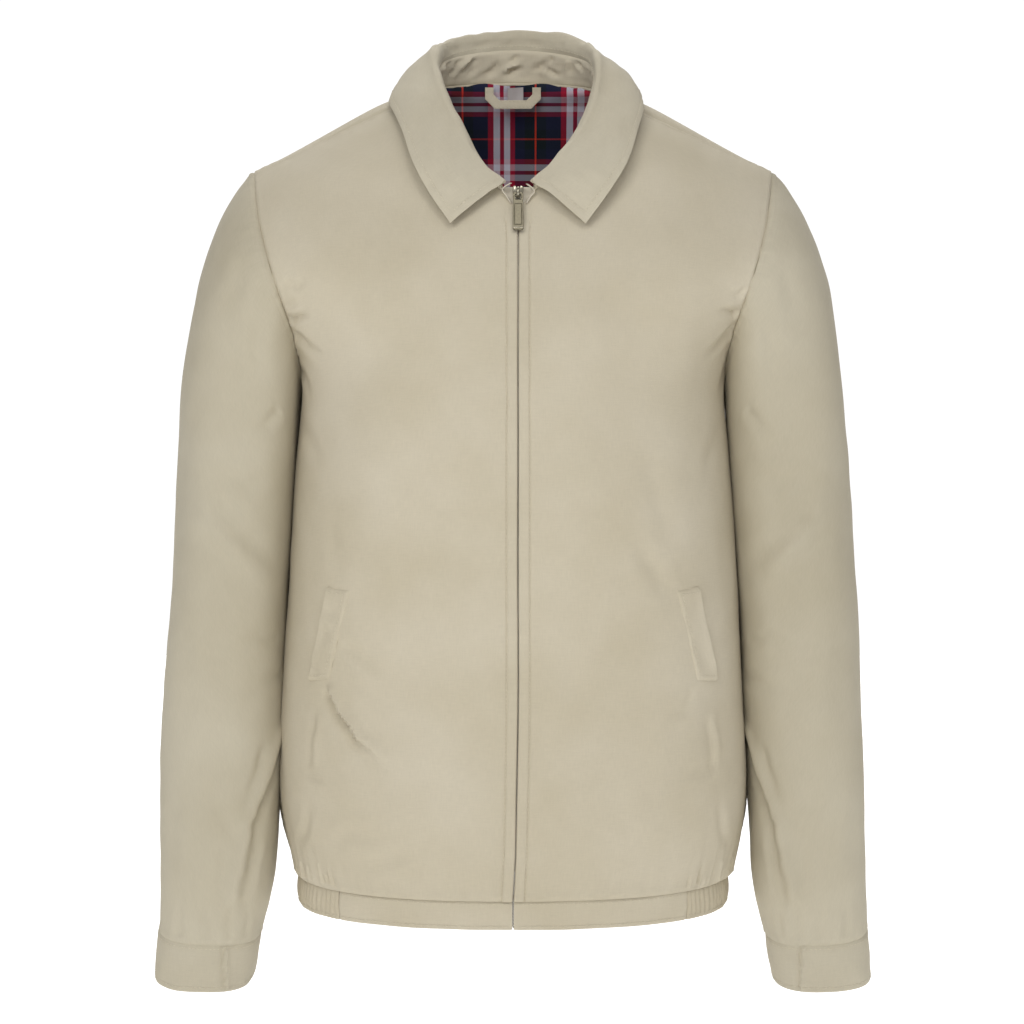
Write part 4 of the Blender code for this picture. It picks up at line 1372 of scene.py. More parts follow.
@dataclass
class Sleeves:
    """The two set-in sleeves and their plain buttonless cuffs."""

    ring_columns: int = 144

    def armhole(self, front: Cloth, back: Cloth, pressed: bool) -> np.ndarray:
        """The edge of the armhole, from the shoulder point down the front and up the back.

        Args:
            front: the panel of that side.
            back: the back panel.
            pressed: whether to take the panels' creased edges.

        Returns:
            Points at even shares of the outline's own steps.
        """
        steps_front, steps_back = fine_steps(FRONT_ROWS, SHELL_ROW), fine_steps(BACK_ROWS, SHELL_ROW)
        sides = []
        for rows, steps, cloth in ((FRONT_ROWS, steps_front, front), (BACK_ROWS, steps_back, back)):
            far = progress(rows, steps)
            names = [row.name for row in rows]
            low = sum(row.steps for row in rows[: names.index("armpit")])
            high = sum(row.steps for row in rows[: names.index("shoulder point")])
            inside = (far >= low) & (far <= high)
            sides.append((far[inside] - low, (cloth.grid if pressed else cloth.base)[inside, -1]))
        half = RING_STEPS / 2
        at = np.arange(self.ring_columns) * RING_STEPS / self.ring_columns
        (front_at, front_line), (back_at, back_line) = sides
        down = np.stack([np.interp(half - at, front_at, front_line[:, k]) for k in range(3)], axis=1)
        up = np.stack([np.interp(at - half, back_at, back_line[:, k]) for k in range(3)], axis=1)
        loop = np.where((at <= half)[:, None], down, up)
        return loop

    def rings(self, table: Sequence[Ring], spacing: float, armhole: np.ndarray) -> np.ndarray:
        """The rings of a table with the ones between them.

        Args:
            table: the rings.
            spacing: the distance wanted from ring to ring.
            armhole: the outline that the first rings keep.

        Returns:
            Rings by columns by xyz.
        """
        steps = [
            max(a.steps, round(math.hypot(b.outer_x - a.outer_x, b.outer_z - a.outer_z) / spacing))
            for a, b in zip(table, table[1:])
        ]
        numbers = through([tuple(ring)[2:] for ring in table], steps)
        turn = math.tau * np.arange(self.ring_columns) / self.ring_columns
        power = 2 / SLEEVE_ROUNDNESS
        reach, depth = signed_power(np.cos(turn), power), signed_power(np.sin(turn), power)
        grid = []
        for outer_x, outer_z, inner_x, inner_z, front_y, back_y, own, dip in numbers:
            ring = np.stack(
                [
                    (outer_x + inner_x) / 2 + (outer_x - inner_x) / 2 * reach,
                    np.where(depth > 0, front_y * depth, -back_y * depth),
                    (outer_z + inner_z) / 2 + (outer_z - inner_z) / 2 * reach - dip * depth,
                ],
                axis=1,
            )
            grid.append(ring * (1 - own) + armhole * own)
        return np.array(grid)

    def build(self, fronts: Fronts, back: Back, trim: Sewing) -> None:
        """Makes the sleeves and the cuffs.

        Args:
            fronts: the front panels.
            back: the back panel.
            trim: the sewing of the shell.
        """
        armhole = self.armhole(fronts.cloths[1], back.cloth, pressed=False)
        for side, label in Sides:
            mirror = np.array((side, 1, 1))
            grid = self.rings(SLEEVE_RINGS, 3.0, armhole) * mirror
            ends = (Edge.LOW, Edge.HIGH)
            sleeve = Cloth(
                f"sleeve_shell_{label}", grid, SHELL_WALL, side < 0, True, SLEEVE_COTTON_PAINTED_SHADE, inside=SLEEVE_TAFFETA,
                sewn=ends,
            )
            loop = np.concatenate([sleeve.base[0], sleeve.base[0, :1]])
            sleeve.pucker(loop[::2], 61 + side, 11, 1.0, 8)
            low = np.concatenate([sleeve.base[-1], sleeve.base[-1, :1]])
            sleeve.pucker(low[::2], 63 + side, 14, 0.9, 12)
            sleeve.crease(SLEEVE_FRONT_CREASES, facing=-1, mirror=side)
            sleeve.crease(SLEEVE_BACK_CREASES, facing=1, mirror=side)
            sleeve.ripple(71 + side, 110, 1.1, (1, 1, 2))
            sleeve.ripple(73 + side, 36, 0.22, (1, 1, 1.5))
            sleeve.sew()
            self.set_in(sleeve, self.armhole(fronts.cloths[1], back.cloth, pressed=True) * mirror)
            lay(sleeve, f"sleeve_{label}")
            self.cuff(side, label, armhole, trim)

    def set_in(self, sleeve: Cloth, edge: np.ndarray) -> None:
        """Moves the sleeve's upper edge just under the edge of the armhole.

        Args:
            sleeve: the sleeve.
            edge: the creased edge of the armhole.
        """
        under, over = 0.45, 2.4
        away = sleeve.base[0] - sleeve.base[2]
        away /= np.linalg.norm(away, axis=1, keepdims=True)
        target = edge - sleeve.normal[0] * under + away * over
        near = bump_of(sleeve.along(), 4.5)
        sleeve.grid = sleeve.grid + (target - sleeve.grid[0])[None] * near[..., None]

    def cuff(self, side: int, label: str, armhole: np.ndarray, trim: Sewing) -> None:
        """Makes one cuff, with the seam where its ends meet.

        Args:
            side: 1 on the wearer's left.
            label: the side's name.
            armhole: the outline that the rings' function asks for.
            trim: the sewing of the shell.
        """
        grid = self.rings(CUFF_RINGS, 2.0, armhole) * (side, 1, 1)
        cuff = Cloth(
            f"cuff_band_{label}", grid, BAND_WALL, side < 0, True, SLEEVE_COTTON_PAINTED_SHADE, inside=SLEEVE_COTTON_PAINTED_SHADE, sewn=(Edge.LOW,)
        )
        along = cuff.along()
        tall = along[-1:]
        cuff.push(
            0.7 * arched(along / tall, 0.6)
            - 0.9 * bump_of(along, 1.3) - 0.7 * bump_of(tall - along, 0.9)
            - 0.35 * bump_of(along - 3.4, 0.9) - 0.35 * bump_of(tall - along - 4.0, 0.9)
        )
        join = ((side * 236.5, -688), (side * 236.0, -700), (side * 235.5, -732))
        cuff.crease((Crease(join, 1.0, 1.6, (0.05, 0.05), Press.STEP),), facing=-1)
        low = np.concatenate([cuff.base[-1], cuff.base[-1, :1]])
        cuff.pucker(low[::2], 81 + side, 11, 0.3, 12)
        cuff.ripple(83 + side, 34, 0.3)
        lay(cuff, f"cuff_{label}")
        around = np.arange(self.ring_columns + 1, dtype=float) % self.ring_columns
        rows = len(cuff.grid) - 1
        for share in (3.4, 36.0):
            trim.run(cuff.path(np.full(len(around), rows * share / 40), around))


@dataclass
class HemBand:
    """The hem band: flat at the front and the back, shirred over elastic at the sides."""

    front_end: float = 50.0
    back_start: float = 128.0
    opening: float = 0.09
    between: float = 0.2
    fullness: float = 1.35  # how much longer the shirred cloth was cut than it lies

    def point(self, row: BandRow, degrees: np.ndarray, side: int) -> np.ndarray:
        """Points of the band.

        Args:
            row: the line round it.
            degrees: from the zip towards the back.
            side: 1 on the wearer's left.

        Returns:
            The points.
        """
        turn, power = np.radians(degrees), 2 / TORSO_ROUNDNESS
        forward = signed_power(np.cos(turn), power)
        depth = np.where(forward > 0, row.front, row.back)
        x = side * row.half_width * signed_power(np.sin(turn), power)
        return np.stack([x, -depth * forward, np.full_like(x, row.z)], axis=1)

    def piece(self, name: str, start: float, end: float, side: int, cells: int, shirred: bool) -> Cloth:
        """Lays out one piece of the band.

        Args:
            name: of the piece.
            start: degrees at its first end.
            end: degrees at its last end.
            side: 1 on the wearer's left.
            cells: its mesh columns.
            shirred: whether elastic draws it up.

        Returns:
            The cloth.
        """
        angles = np.linspace(start, end, cells + 1)
        lines = np.array([self.point(row, angles, side) for row in HEM_BAND])
        grid = np.stack([through(lines[:, j], (6, 6)) for j in range(cells + 1)], axis=1)
        finish = SHIRRED_PAINTED_SHADE if shirred else COTTON
        cloth = Cloth(name, grid, BAND_WALL, side > 0, inside=COTTON, finish=finish, sewn=(Edge.LOW,))
        across, along = cloth.across(), cloth.along()
        tall, wide = along[-1:], across[:, -1:]
        cloth.push(0.5 * arched(along / tall, 0.5) - 0.9 * bump_of(along, 1.2))
        cloth.push(-0.8 * bump_of(tall - along, 0.8) - 0.3 * bump_of(tall - along - 3.5, 0.9))
        cloth.push(-0.7 * bump_of(across, 1.1) - 0.7 * bump_of(wide - across, 1.1))
        if shirred:
            wobble = across + 1.1 * np.sin(across / 9) + 0.7 * np.sin(along / 6 + across / 23)
            ribs = np.abs(np.sin(math.pi * wobble / 5.6)) ** 0.8 - 0.55 + 0.25 * np.sin(wobble / 3.9)
            middle = 0.45 + 0.55 * np.sin(math.pi * np.clip(along / tall, 0, 1))
            edge = smooth_step(across / 6) * smooth_step((wide - across) / 6)
            cloth.push(1.35 * ribs * middle * edge)
        else:
            cloth.pucker(cloth.base[0, ::3], 91 + side, 14, 0.3, 8)
            cloth.ripple(93 + side, 60, 0.35)
        return cloth

    def build(self, trim: Sewing) -> None:
        """Makes the five pieces and stitches them.

        Args:
            trim: the sewing of the shell.
        """
        plans = []
        for side, label in Sides:
            end = self.front_end - self.between
            plans.append((f"hem_band_front_{label}", f"hem_front_{label}", self.opening, end, side, 70, False))
            span = (self.front_end, self.back_start)
            plans.append((f"hem_band_elastic_{label}", f"hem_elastic_{label}", *span, side, 190, True))
        start = self.back_start + self.between
        plans.append(("hem_band_back", "hem_back", start, 360 - start, 1, 110, False))
        for name, node, start, end, side, cells, shirred in plans:
            cloth = self.piece(name, start, end, side, cells, shirred)
            width = float(cloth.across()[0, -1]) * MM * (self.fullness if shirred else 1.0)
            lay(cloth, node)
            columns = np.linspace(0.5, cells - 0.5, cells)
            rows = len(cloth.grid) - 1
            for share in (0.87, 0.14) if not shirred else (0.87,):
                trim.run(cloth.path(np.full(cells, rows * share), columns))


@dataclass
class Collar:
    """The collar: a stand sewn to the neckline, and a fall that rolls over it."""

    finer: int = 6
    roll_turns: tuple[float, ...] = (155, 125, 90, 60, 30)  # where the roll's lines lie round its bend
    roll_waves: tuple[tuple[float, float, float], ...] = ((13.7, 0, 0.5), (6.1, 1, 0.25))  # length, start, height
    leaf_rows: int = 4
    leaf_crown: float = 0.8
    stitch_in: float = 6.0  # from the fall's edges to its stitches
    pressed: float = 0.35  # how far the folded edge stands up beyond the stitches
    stitch_sink: float = 0.3
    seam_row: float = 1.6
    seam_ends: int = 20  # columns at both ends of the seam that have no stitches
    neck: np.ndarray = field(init=False)
    out: np.ndarray = field(init=False)

    def line(self, name: str) -> np.ndarray:
        """A line of the whole collar, from the zip on the wearer's left round to the right.

        Args:
            name: which of a station's points.

        Returns:
            The line's points.
        """
        steps = [station.steps * self.finer for station in COLLAR_STATIONS[:-1]]
        half = [np.array(getattr(station, name), float) for station in COLLAR_STATIONS]
        leans = [(station.lean, 0, 0) for station in COLLAR_STATIONS]
        left = [point + lean for point, lean in zip(half, leans)]
        right = [point * (-1, 1, 1) + lean for point, lean in zip(half, leans)]
        return through(left + right[-2::-1], steps + steps[::-1])

    def neckline(self, front: Cloth, back: Cloth, mirror: int) -> np.ndarray:
        """Half of the panels' neck edge at the collar's even stations.

        Args:
            front: the panel of that side.
            back: the back panel.
            mirror: -1 for the wearer's right.

        Returns:
            The points.
        """
        names = [row.name for row in FRONT_ROWS]
        at = progress(FRONT_ROWS, fine_steps(FRONT_ROWS, SHELL_ROW))
        first = sum(row.steps for row in FRONT_ROWS[: names.index("shoulder point")])
        front_edge = front.base[at >= first, 0]
        at = progress(BACK_ROWS, fine_steps(BACK_ROWS, SHELL_ROW))
        last = sum(row.steps for row in BACK_ROWS[: names.index("mid shoulder")])
        back_edge = back.base[at >= last, 0][:-1][::-1] * (mirror, 1, 1)
        edge = np.concatenate([front_edge, back_edge])
        far = np.concatenate([[0], np.cumsum(np.linalg.norm(np.diff(edge, axis=0), axis=1))])
        even = np.linspace(0, far[-1], sum(station.steps for station in COLLAR_STATIONS) + 1)
        return np.stack([np.interp(even, far, edge[:, k]) for k in range(3)], axis=1)

    def measure(self, fronts: Fronts, back: Back) -> None:
        """Takes the neckline from the panels.

        Args:
            fronts: the front panels.
            back: the back panel.
        """
        left = self.neckline(fronts.cloths[1], back.cloth, 1)
        right = self.neckline(fronts.cloths[-1], back.cloth, -1)
        coarse = np.concatenate([left, right[-2::-1]])
        way = np.gradient(coarse, axis=0)
        out = np.stack([way[:, 1], -way[:, 0], np.zeros(len(coarse))], axis=1)
        out /= np.linalg.norm(out, axis=1, keepdims=True)
        steps = [self.finer] * (len(coarse) - 1)
        self.neck = through(coarse, steps)
        self.out = through(out, steps)
        self.out /= np.linalg.norm(self.out, axis=1, keepdims=True)

    def columns_through(self, lines: np.ndarray, steps: Sequence[int]) -> np.ndarray:
        """Smooth mesh columns through a stack of lines."""
        return np.stack([through(lines[:, j], steps) for j in range(lines.shape[1])], axis=1)

    def build_stand(self, seam: np.ndarray) -> None:
        """Makes the stand, drawn up in small puckers behind the neck.

        Args:
            seam: the seam of stand and fall.
        """
        neck, lift = self.neck, np.array((0, 0, SEAM_GAP))
        tall = np.clip((seam - neck)[:, 2:] - 1.5, 0.5, 6) * (0, 0, 1)
        lines = np.array([neck + lift * 1.2, (neck + seam) / 2 + lift / 2, seam - tall / 2, seam - lift / 2])
        stand = Cloth(
            "collar_stand_band", self.columns_through(lines, (8, 7, 3)), COLLAR_WALL, True,
            finish=STAND_COTTON_PAINTED_LIGHT, inside=STAND_COTTON_PAINTED_LIGHT, sewn=(Edge.LOW, Edge.HIGH),
        )
        stand.crease(STAND_CREASES, facing=-1)
        stand.pucker(stand.base[0, ::3], 101, 8, 1.2, 7)
        stand.pucker(stand.base[-1, ::3], 102, 6, 1.0, 5)
        stand.ripple(103, 24, 0.5)
        stand.sew(roll=0.6, ridge=0.0)
        lay(stand, "collar_stand")

    def build_fall(self, seam: np.ndarray, trim: Sewing) -> None:
        """Makes the fall, with its pressed edge and its stitching.

        Args:
            seam: the seam of stand and fall.
            trim: the sewing of the shell.
        """
        roll, edge = self.line("roll"), self.line("edge")
        half = column(COLLAR_STATIONS, "bulge", [s.steps * self.finer for s in COLLAR_STATIONS[:-1]])
        bulge = np.concatenate([half, half[-2::-1]])[:, None]
        lift, radius = np.array((0, 0, SEAM_GAP)), ROLL_WIDTH / 2
        upright = (roll - seam)[:, 2:] * 0.35 * (0, 0, 1)
        lines = [seam - lift * 1.5, seam + lift * 1.4 + upright]
        for degrees in self.roll_turns:
            turn = math.radians(degrees)
            over = radius + radius * math.cos(turn)
            lines.append(roll + self.out * over + (0, 0, radius * math.sin(turn) - radius))
        wander = sum(np.sin(roll[:, 0] / length + begin) * height for length, begin, height in self.roll_waves)
        lines[2:] = [line + np.stack([0 * wander, 0 * wander, wander], axis=1) for line in lines[2:]]
        start = lines[-1]
        for i in range(1, self.leaf_rows + 1):
            share = i / self.leaf_rows
            crown = bulge * math.sin(math.pi * share) * self.leaf_crown
            lines.append(start + (edge - start) * share + self.out * crown + (0, 0, 0.3))
        grid = self.columns_through(np.array(lines), (3, 3, 3, 3, 2, 2, 5, 5, 5, 7))
        fall = Cloth(
            "collar_fall_leaf", grid, COLLAR_WALL, True, finish=COLLAR_COTTON_PAINTED_SHADE, inside=COLLAR_COTTON_PAINTED_SHADE, sewn=(Edge.LOW,)
        )
        along, across = fall.along(), fall.across()
        to_edge = along[-1:] - along
        from_ends = np.minimum(across, across[:, -1:] - across)
        outer = smooth_step((along - 14) / 8)
        hem = np.minimum(to_edge, np.where(outer > 0.5, from_ends, 1e3))
        step = np.tanh(hem / 0.8) - 0.5 * (1 + np.tanh((hem - self.stitch_in) / 0.8))
        fall.push(self.pressed * outer * step - self.stitch_sink * bump_of(hem - self.stitch_in, 0.9))
        fall.pucker(fall.base[-1, ::4], 111, 16, 0.25, 7)
        fall.crease(FALL_INSIDE_CREASES, facing=-1)
        fall.crease(FALL_CREASES, facing=-1)
        fall.ripple(112, 60, 1.1)
        fall.ripple(113, 24, 0.3)
        fall.sew(roll=0.6, ridge=0.0)
        lay(fall, "collar_fall")
        last = grid.shape[0] - 1
        stitch, count = self.stitch_in, grid.shape[1]
        edge_rows = np.array([np.interp(stitch, to_edge[::-1, j], np.arange(last, -1, -1)) for j in range(count)])
        inside = slice(3, count - 3)
        trim.run(fall.path(edge_rows[inside], np.arange(count, dtype=float)[inside]))
        for end in (0, 1):
            rows = np.arange(14, last - 3, dtype=float)
            columns = np.array([np.interp(stitch, across[int(i)], np.arange(count)) for i in rows])
            trim.run(fall.path(rows, columns if end == 0 else count - 1 - columns))
        seam_columns = np.arange(self.seam_ends, count - self.seam_ends, dtype=float)
        trim.run(fall.path(np.full(len(seam_columns), self.seam_row), seam_columns))

    def build(self, fronts: Fronts, back: Back, trim: Sewing) -> None:
        """Makes the collar.

        Args:
            fronts: the front panels.
            back: the back panel.
            trim: the sewing of the shell.
        """
        self.measure(fronts, back)
        seam = self.line("seam")
        self.build_stand(seam)
        self.build_fall(seam, trim)


STAND_CREASES = (
    Crease(((-60, 15), (-54, 26), (-48, 37)), 2.0, 2.2, press=Press.STEP),
    Crease(((-54, 12), (-48, 22), (-41, 31)), 1.8, 2.2),
    Crease(((-44, 17), (-36, 26), (-30, 34)), 2.1, 2.4, press=Press.STEP),
    Crease(((-39, 14), (-31, 24)), 1.4, 2.0),
    Crease(((-26, 16), (-18, 20), (-12, 30)), 1.4, 2.6),
    Crease(((-9, 16), (-1, 21), (8, 26)), 2.1, 2.2, press=Press.STEP),
    Crease(((-3, 27), (5, 34)), 1.5, 2.0),
    Crease(((17, 17), (22, 22), (28, 29)), 1.8, 2.4),
    Crease(((24, 25), (35, 16), (41, 19)), 1.8, 2.0),
    Crease(((32, 26), (31, 34)), 1.4, 2.0),
    Crease(((44, 16), (47, 24), (45, 31)), 1.5, 2.2, press=Press.STEP),
    Crease(((50, 29), (59, 18)), 2.0, 2.2),
    Crease(((58, 27), (65, 21)), 1.4, 1.8),
)
FALL_INSIDE_CREASES = (
    Crease(((-56, 46), (-51, 40), (-46, 36)), 1.0, 2.4, press=Press.STEP),
    Crease(((-34, 41), (-25, 39), (-17, 46)), 1.0, 2.4),
    Crease(((-8, 41), (0, 46)), 0.9, 2.2, press=Press.STEP),
    Crease(((12, 46), (17, 43), (25, 39)), 1.0, 2.4),
    Crease(((39, 38), (41, 46)), 1.1, 2.0),
    Crease(((55, 45), (63, 40)), 0.9, 2.0),
)
FALL_CREASES = (
    Crease(((-88, -10), (-80, -34), (-66, -58)), 0.5, 9),
    Crease(((84, -16), (74, -40), (60, -64)), 0.6, 9),
    Crease(((30, -66), (46, -84), (58, -96)), 0.5, 6),
    Crease(((-22, -70), (-36, -86), (-46, -94)), 0.4, 6),
)


@dataclass
class NeckTrim:
    """The piped neckline seam, the hanger loop and the blank label inside the neck."""

    piping_radius: float = 1.2
    loop_half: float = 23.0
    loop_drop: float = 17.5
    strap: float = 7.0
    chamfer: float = 8.0
    top_z: float = 6.6
    y: float = 55.0

    def build_piping(self, collar: Collar) -> None:
        """Makes the piping as a soft cord that narrows into its seam at both ends.

        Args:
            collar: the collar whose neckline it follows.
        """
        line = collar.neck - collar.out * (self.piping_radius + 1.0) + (0, 0, 0.1)
        skip = 8 * collar.finer
        line, out = line[skip:-skip], collar.out[skip:-skip]
        way = np.gradient(line, axis=0)
        way /= np.linalg.norm(way, axis=1, keepdims=True)
        up = np.cross(out, way)
        sides = 10
        turns = math.tau * np.arange(sides) / sides
        around = out[:, None] * np.cos(turns)[None, :, None] + up[:, None] * np.sin(turns)[None, :, None]
        ends = np.minimum(np.arange(len(line)), np.arange(len(line))[::-1])
        swell = self.piping_radius * (0.35 + 0.65 * smooth_step(ends / 5))
        swell *= 1 + 0.05 * np.sin(np.arange(len(line)) * 1.7)
        grid = line[:, None] + around * swell[:, None, None]
        faces = quads(len(line), sides, closed=True)
        ring = list(range(sides))
        caps = [ring[::-1], [len(line) * sides - sides + k for k in ring]]
        obj = plain_object("neck_piping_cord", grid.reshape(-1, 3), [*faces.tolist(), *caps], COTTON)
        uv = obj.data.uv_layers.new(name=CLOTH_UV)
        corner = np.empty(len(obj.data.loops), np.int32)
        obj.data.loops.foreach_get("vertex_index", corner)
        places = np.stack([corner % sides * 0.0008, corner // sides * 0.0023], axis=1)
        uv.data.foreach_set("uv", places.astype(np.float32).ravel())
        fix(obj, COTTON, "neck_piping")

    def facing_forward(self, name: str, grid: np.ndarray, wall: float, finish: Finish) -> Cloth:
        """A cloth of that grid, of one finish, with its face to the front."""
        behind = Cloth(name, grid, wall).normal[:, :, 1].mean() > 0
        return Cloth(name, grid, wall, bool(behind), finish=finish, inside=finish)

    def build_loop(self, trim: Sewing) -> None:
        """Makes the loop, a flat strap that bellies out from the lining at its foot.

        Args:
            trim: the sewing of the shell.
        """
        half, top, drop, cut = self.loop_half, self.top_z, self.loop_drop, self.chamfer
        inner = half - self.strap
        outer_line = [(-half, top), (-half, top - drop + cut), (-half + cut, top - drop)]
        low_drop, low_cut = drop - self.strap, cut * 0.6
        inner_line = [(-inner, top), (-inner, top - low_drop + low_cut), (-inner + low_cut, top - low_drop)]
        lines = []
        for line in (outer_line, inner_line):
            whole = line + [(-x, z) for x, z in reversed(line)]
            pieces = [np.linspace(a, b, n, endpoint=False) for a, b, n in zip(whole, whole[1:], (9, 4, 16, 4, 9))]
            lines.append(np.concatenate([*pieces, [whole[-1]]]))
        steps = 6
        grid = np.empty((steps + 1, len(lines[0]), 3))
        for i in range(steps + 1):
            flat = lines[0] + (lines[1] - lines[0]) * i / steps
            belly = 2.2 * smooth_step((top - 4 - flat[:, 1]) / drop)
            grid[i] = np.stack([flat[:, 0], self.y + 0.4 - belly, flat[:, 1]], axis=1)
        loop = self.facing_forward("hanger_loop_strap", grid, 1.2, COTTON)
        across = loop.along()
        loop.push(0.35 * arched(across / across[-1:], 0.6))
        loop.ripple(121, 12, 0.15)
        lay(loop, "hanger_loop")
        columns = np.arange(1, grid.shape[1] - 1, dtype=float)
        for row in (0.9, steps - 0.9):
            trim.run(loop.path(np.full(len(columns), row), columns))

    def build_label(self) -> None:
        """Makes the label, blank, with one lifted corner."""
        width, height, x, top, y = 13.0, 11.0, 2.0, 6.0, self.y + 2.3
        u, v = np.meshgrid(np.linspace(0, 1, 15), np.linspace(0, 1, 13))
        lift = 1.2 * u * v * v + 0.3 * np.sin(u * 7)
        grid = np.stack([x - width / 2 + width * u, y - lift, top - height * v + 0.8 * u], axis=2)
        label = self.facing_forward("blank_neck_label", grid, 0.6, LABEL_SATIN)
        lay(label, "neck_label")

    def build(self, collar: Collar, trim: Sewing) -> None:
        """Makes the neck's trim.

        Args:
            collar: the collar.
            trim: the sewing of the shell.
        """
        self.build_piping(collar)
        self.build_loop(trim)
        self.build_label()


@dataclass
class Pockets:
    """The slanted welts of the two pockets."""

    top_inner: tuple[float, float] = (129, -391)
    top_outer: tuple[float, float] = (146.5, -390)
    low_outer: tuple[float, float] = (163, -468)
    low_inner: tuple[float, float] = (147, -465)
    lift: float = 1.0
    cells: tuple[int, int] = (14, 40)
    seam_rise: float = 0.5
    seam_groove: float = 1.4
    lip_swell: float = 0.9
    stitch_sink: float = 0.45
    stitch_column: float = 2.9
    stitch_row: float = 2.2

    def build(self, fronts: Fronts, trim: Sewing) -> None:
        """Makes both welts on the creased fronts.

        Args:
            fronts: the front panels.
            trim: the sewing of the shell.
        """
        across, down = self.cells
        for side, label in Sides:
            front = fronts.cloths[side]
            faces = quads(*front.grid.shape[:2])
            tree = BVHTree.FromPolygons(front.base.reshape(-1, 3).tolist(), faces.tolist())
            corners = [np.array(c, float) for c in (self.top_inner, self.top_outer, self.low_outer, self.low_inner)]
            grid = np.empty((down + 1, across + 1, 3))
            for i in range(down + 1):
                for j in range(across + 1):
                    u, v = j / across, i / down
                    high = corners[0] * (1 - u) + corners[1] * u
                    low = corners[3] * (1 - u) + corners[2] * u
                    x, z = high * (1 - v) + low * v
                    hit, normal, _, _ = tree.ray_cast(Vector((side * x, -500, z)), Vector((0, 1, 0)))
                    normal = -normal if normal.y > 0 else normal
                    grid[i, j] = hit + normal * self.lift
            welt = Cloth(f"pocket_welt_{label}_flap", grid, WELT_WALL, side > 0, finish=COTTON, inside=COTTON)
            a, b = welt.across(), welt.along()
            wide, tall = a[:, -1:], b[-1:]
            sewn = np.minimum(np.minimum(a, b), tall - b)
            welt.push(
                self.seam_rise * smooth_step(sewn / 3) - self.seam_groove * bump_of(sewn, 0.9)
                + self.lip_swell * bump_of(wide - a, 4) - self.stitch_sink * bump_of(a - 3.6, 0.8)
            )
            welt.ripple(131 + side, 26, 0.6)
            lay(welt, f"pocket_welt_{label}")
            lines = np.arange(2, down - 1, dtype=float)
            trim.run(welt.path(lines, np.full(len(lines), self.stitch_column)))
            lines = np.arange(2, across, dtype=float)
            for row in (self.stitch_row, down - self.stitch_row):
                trim.run(welt.path(np.full(len(lines), row), lines))


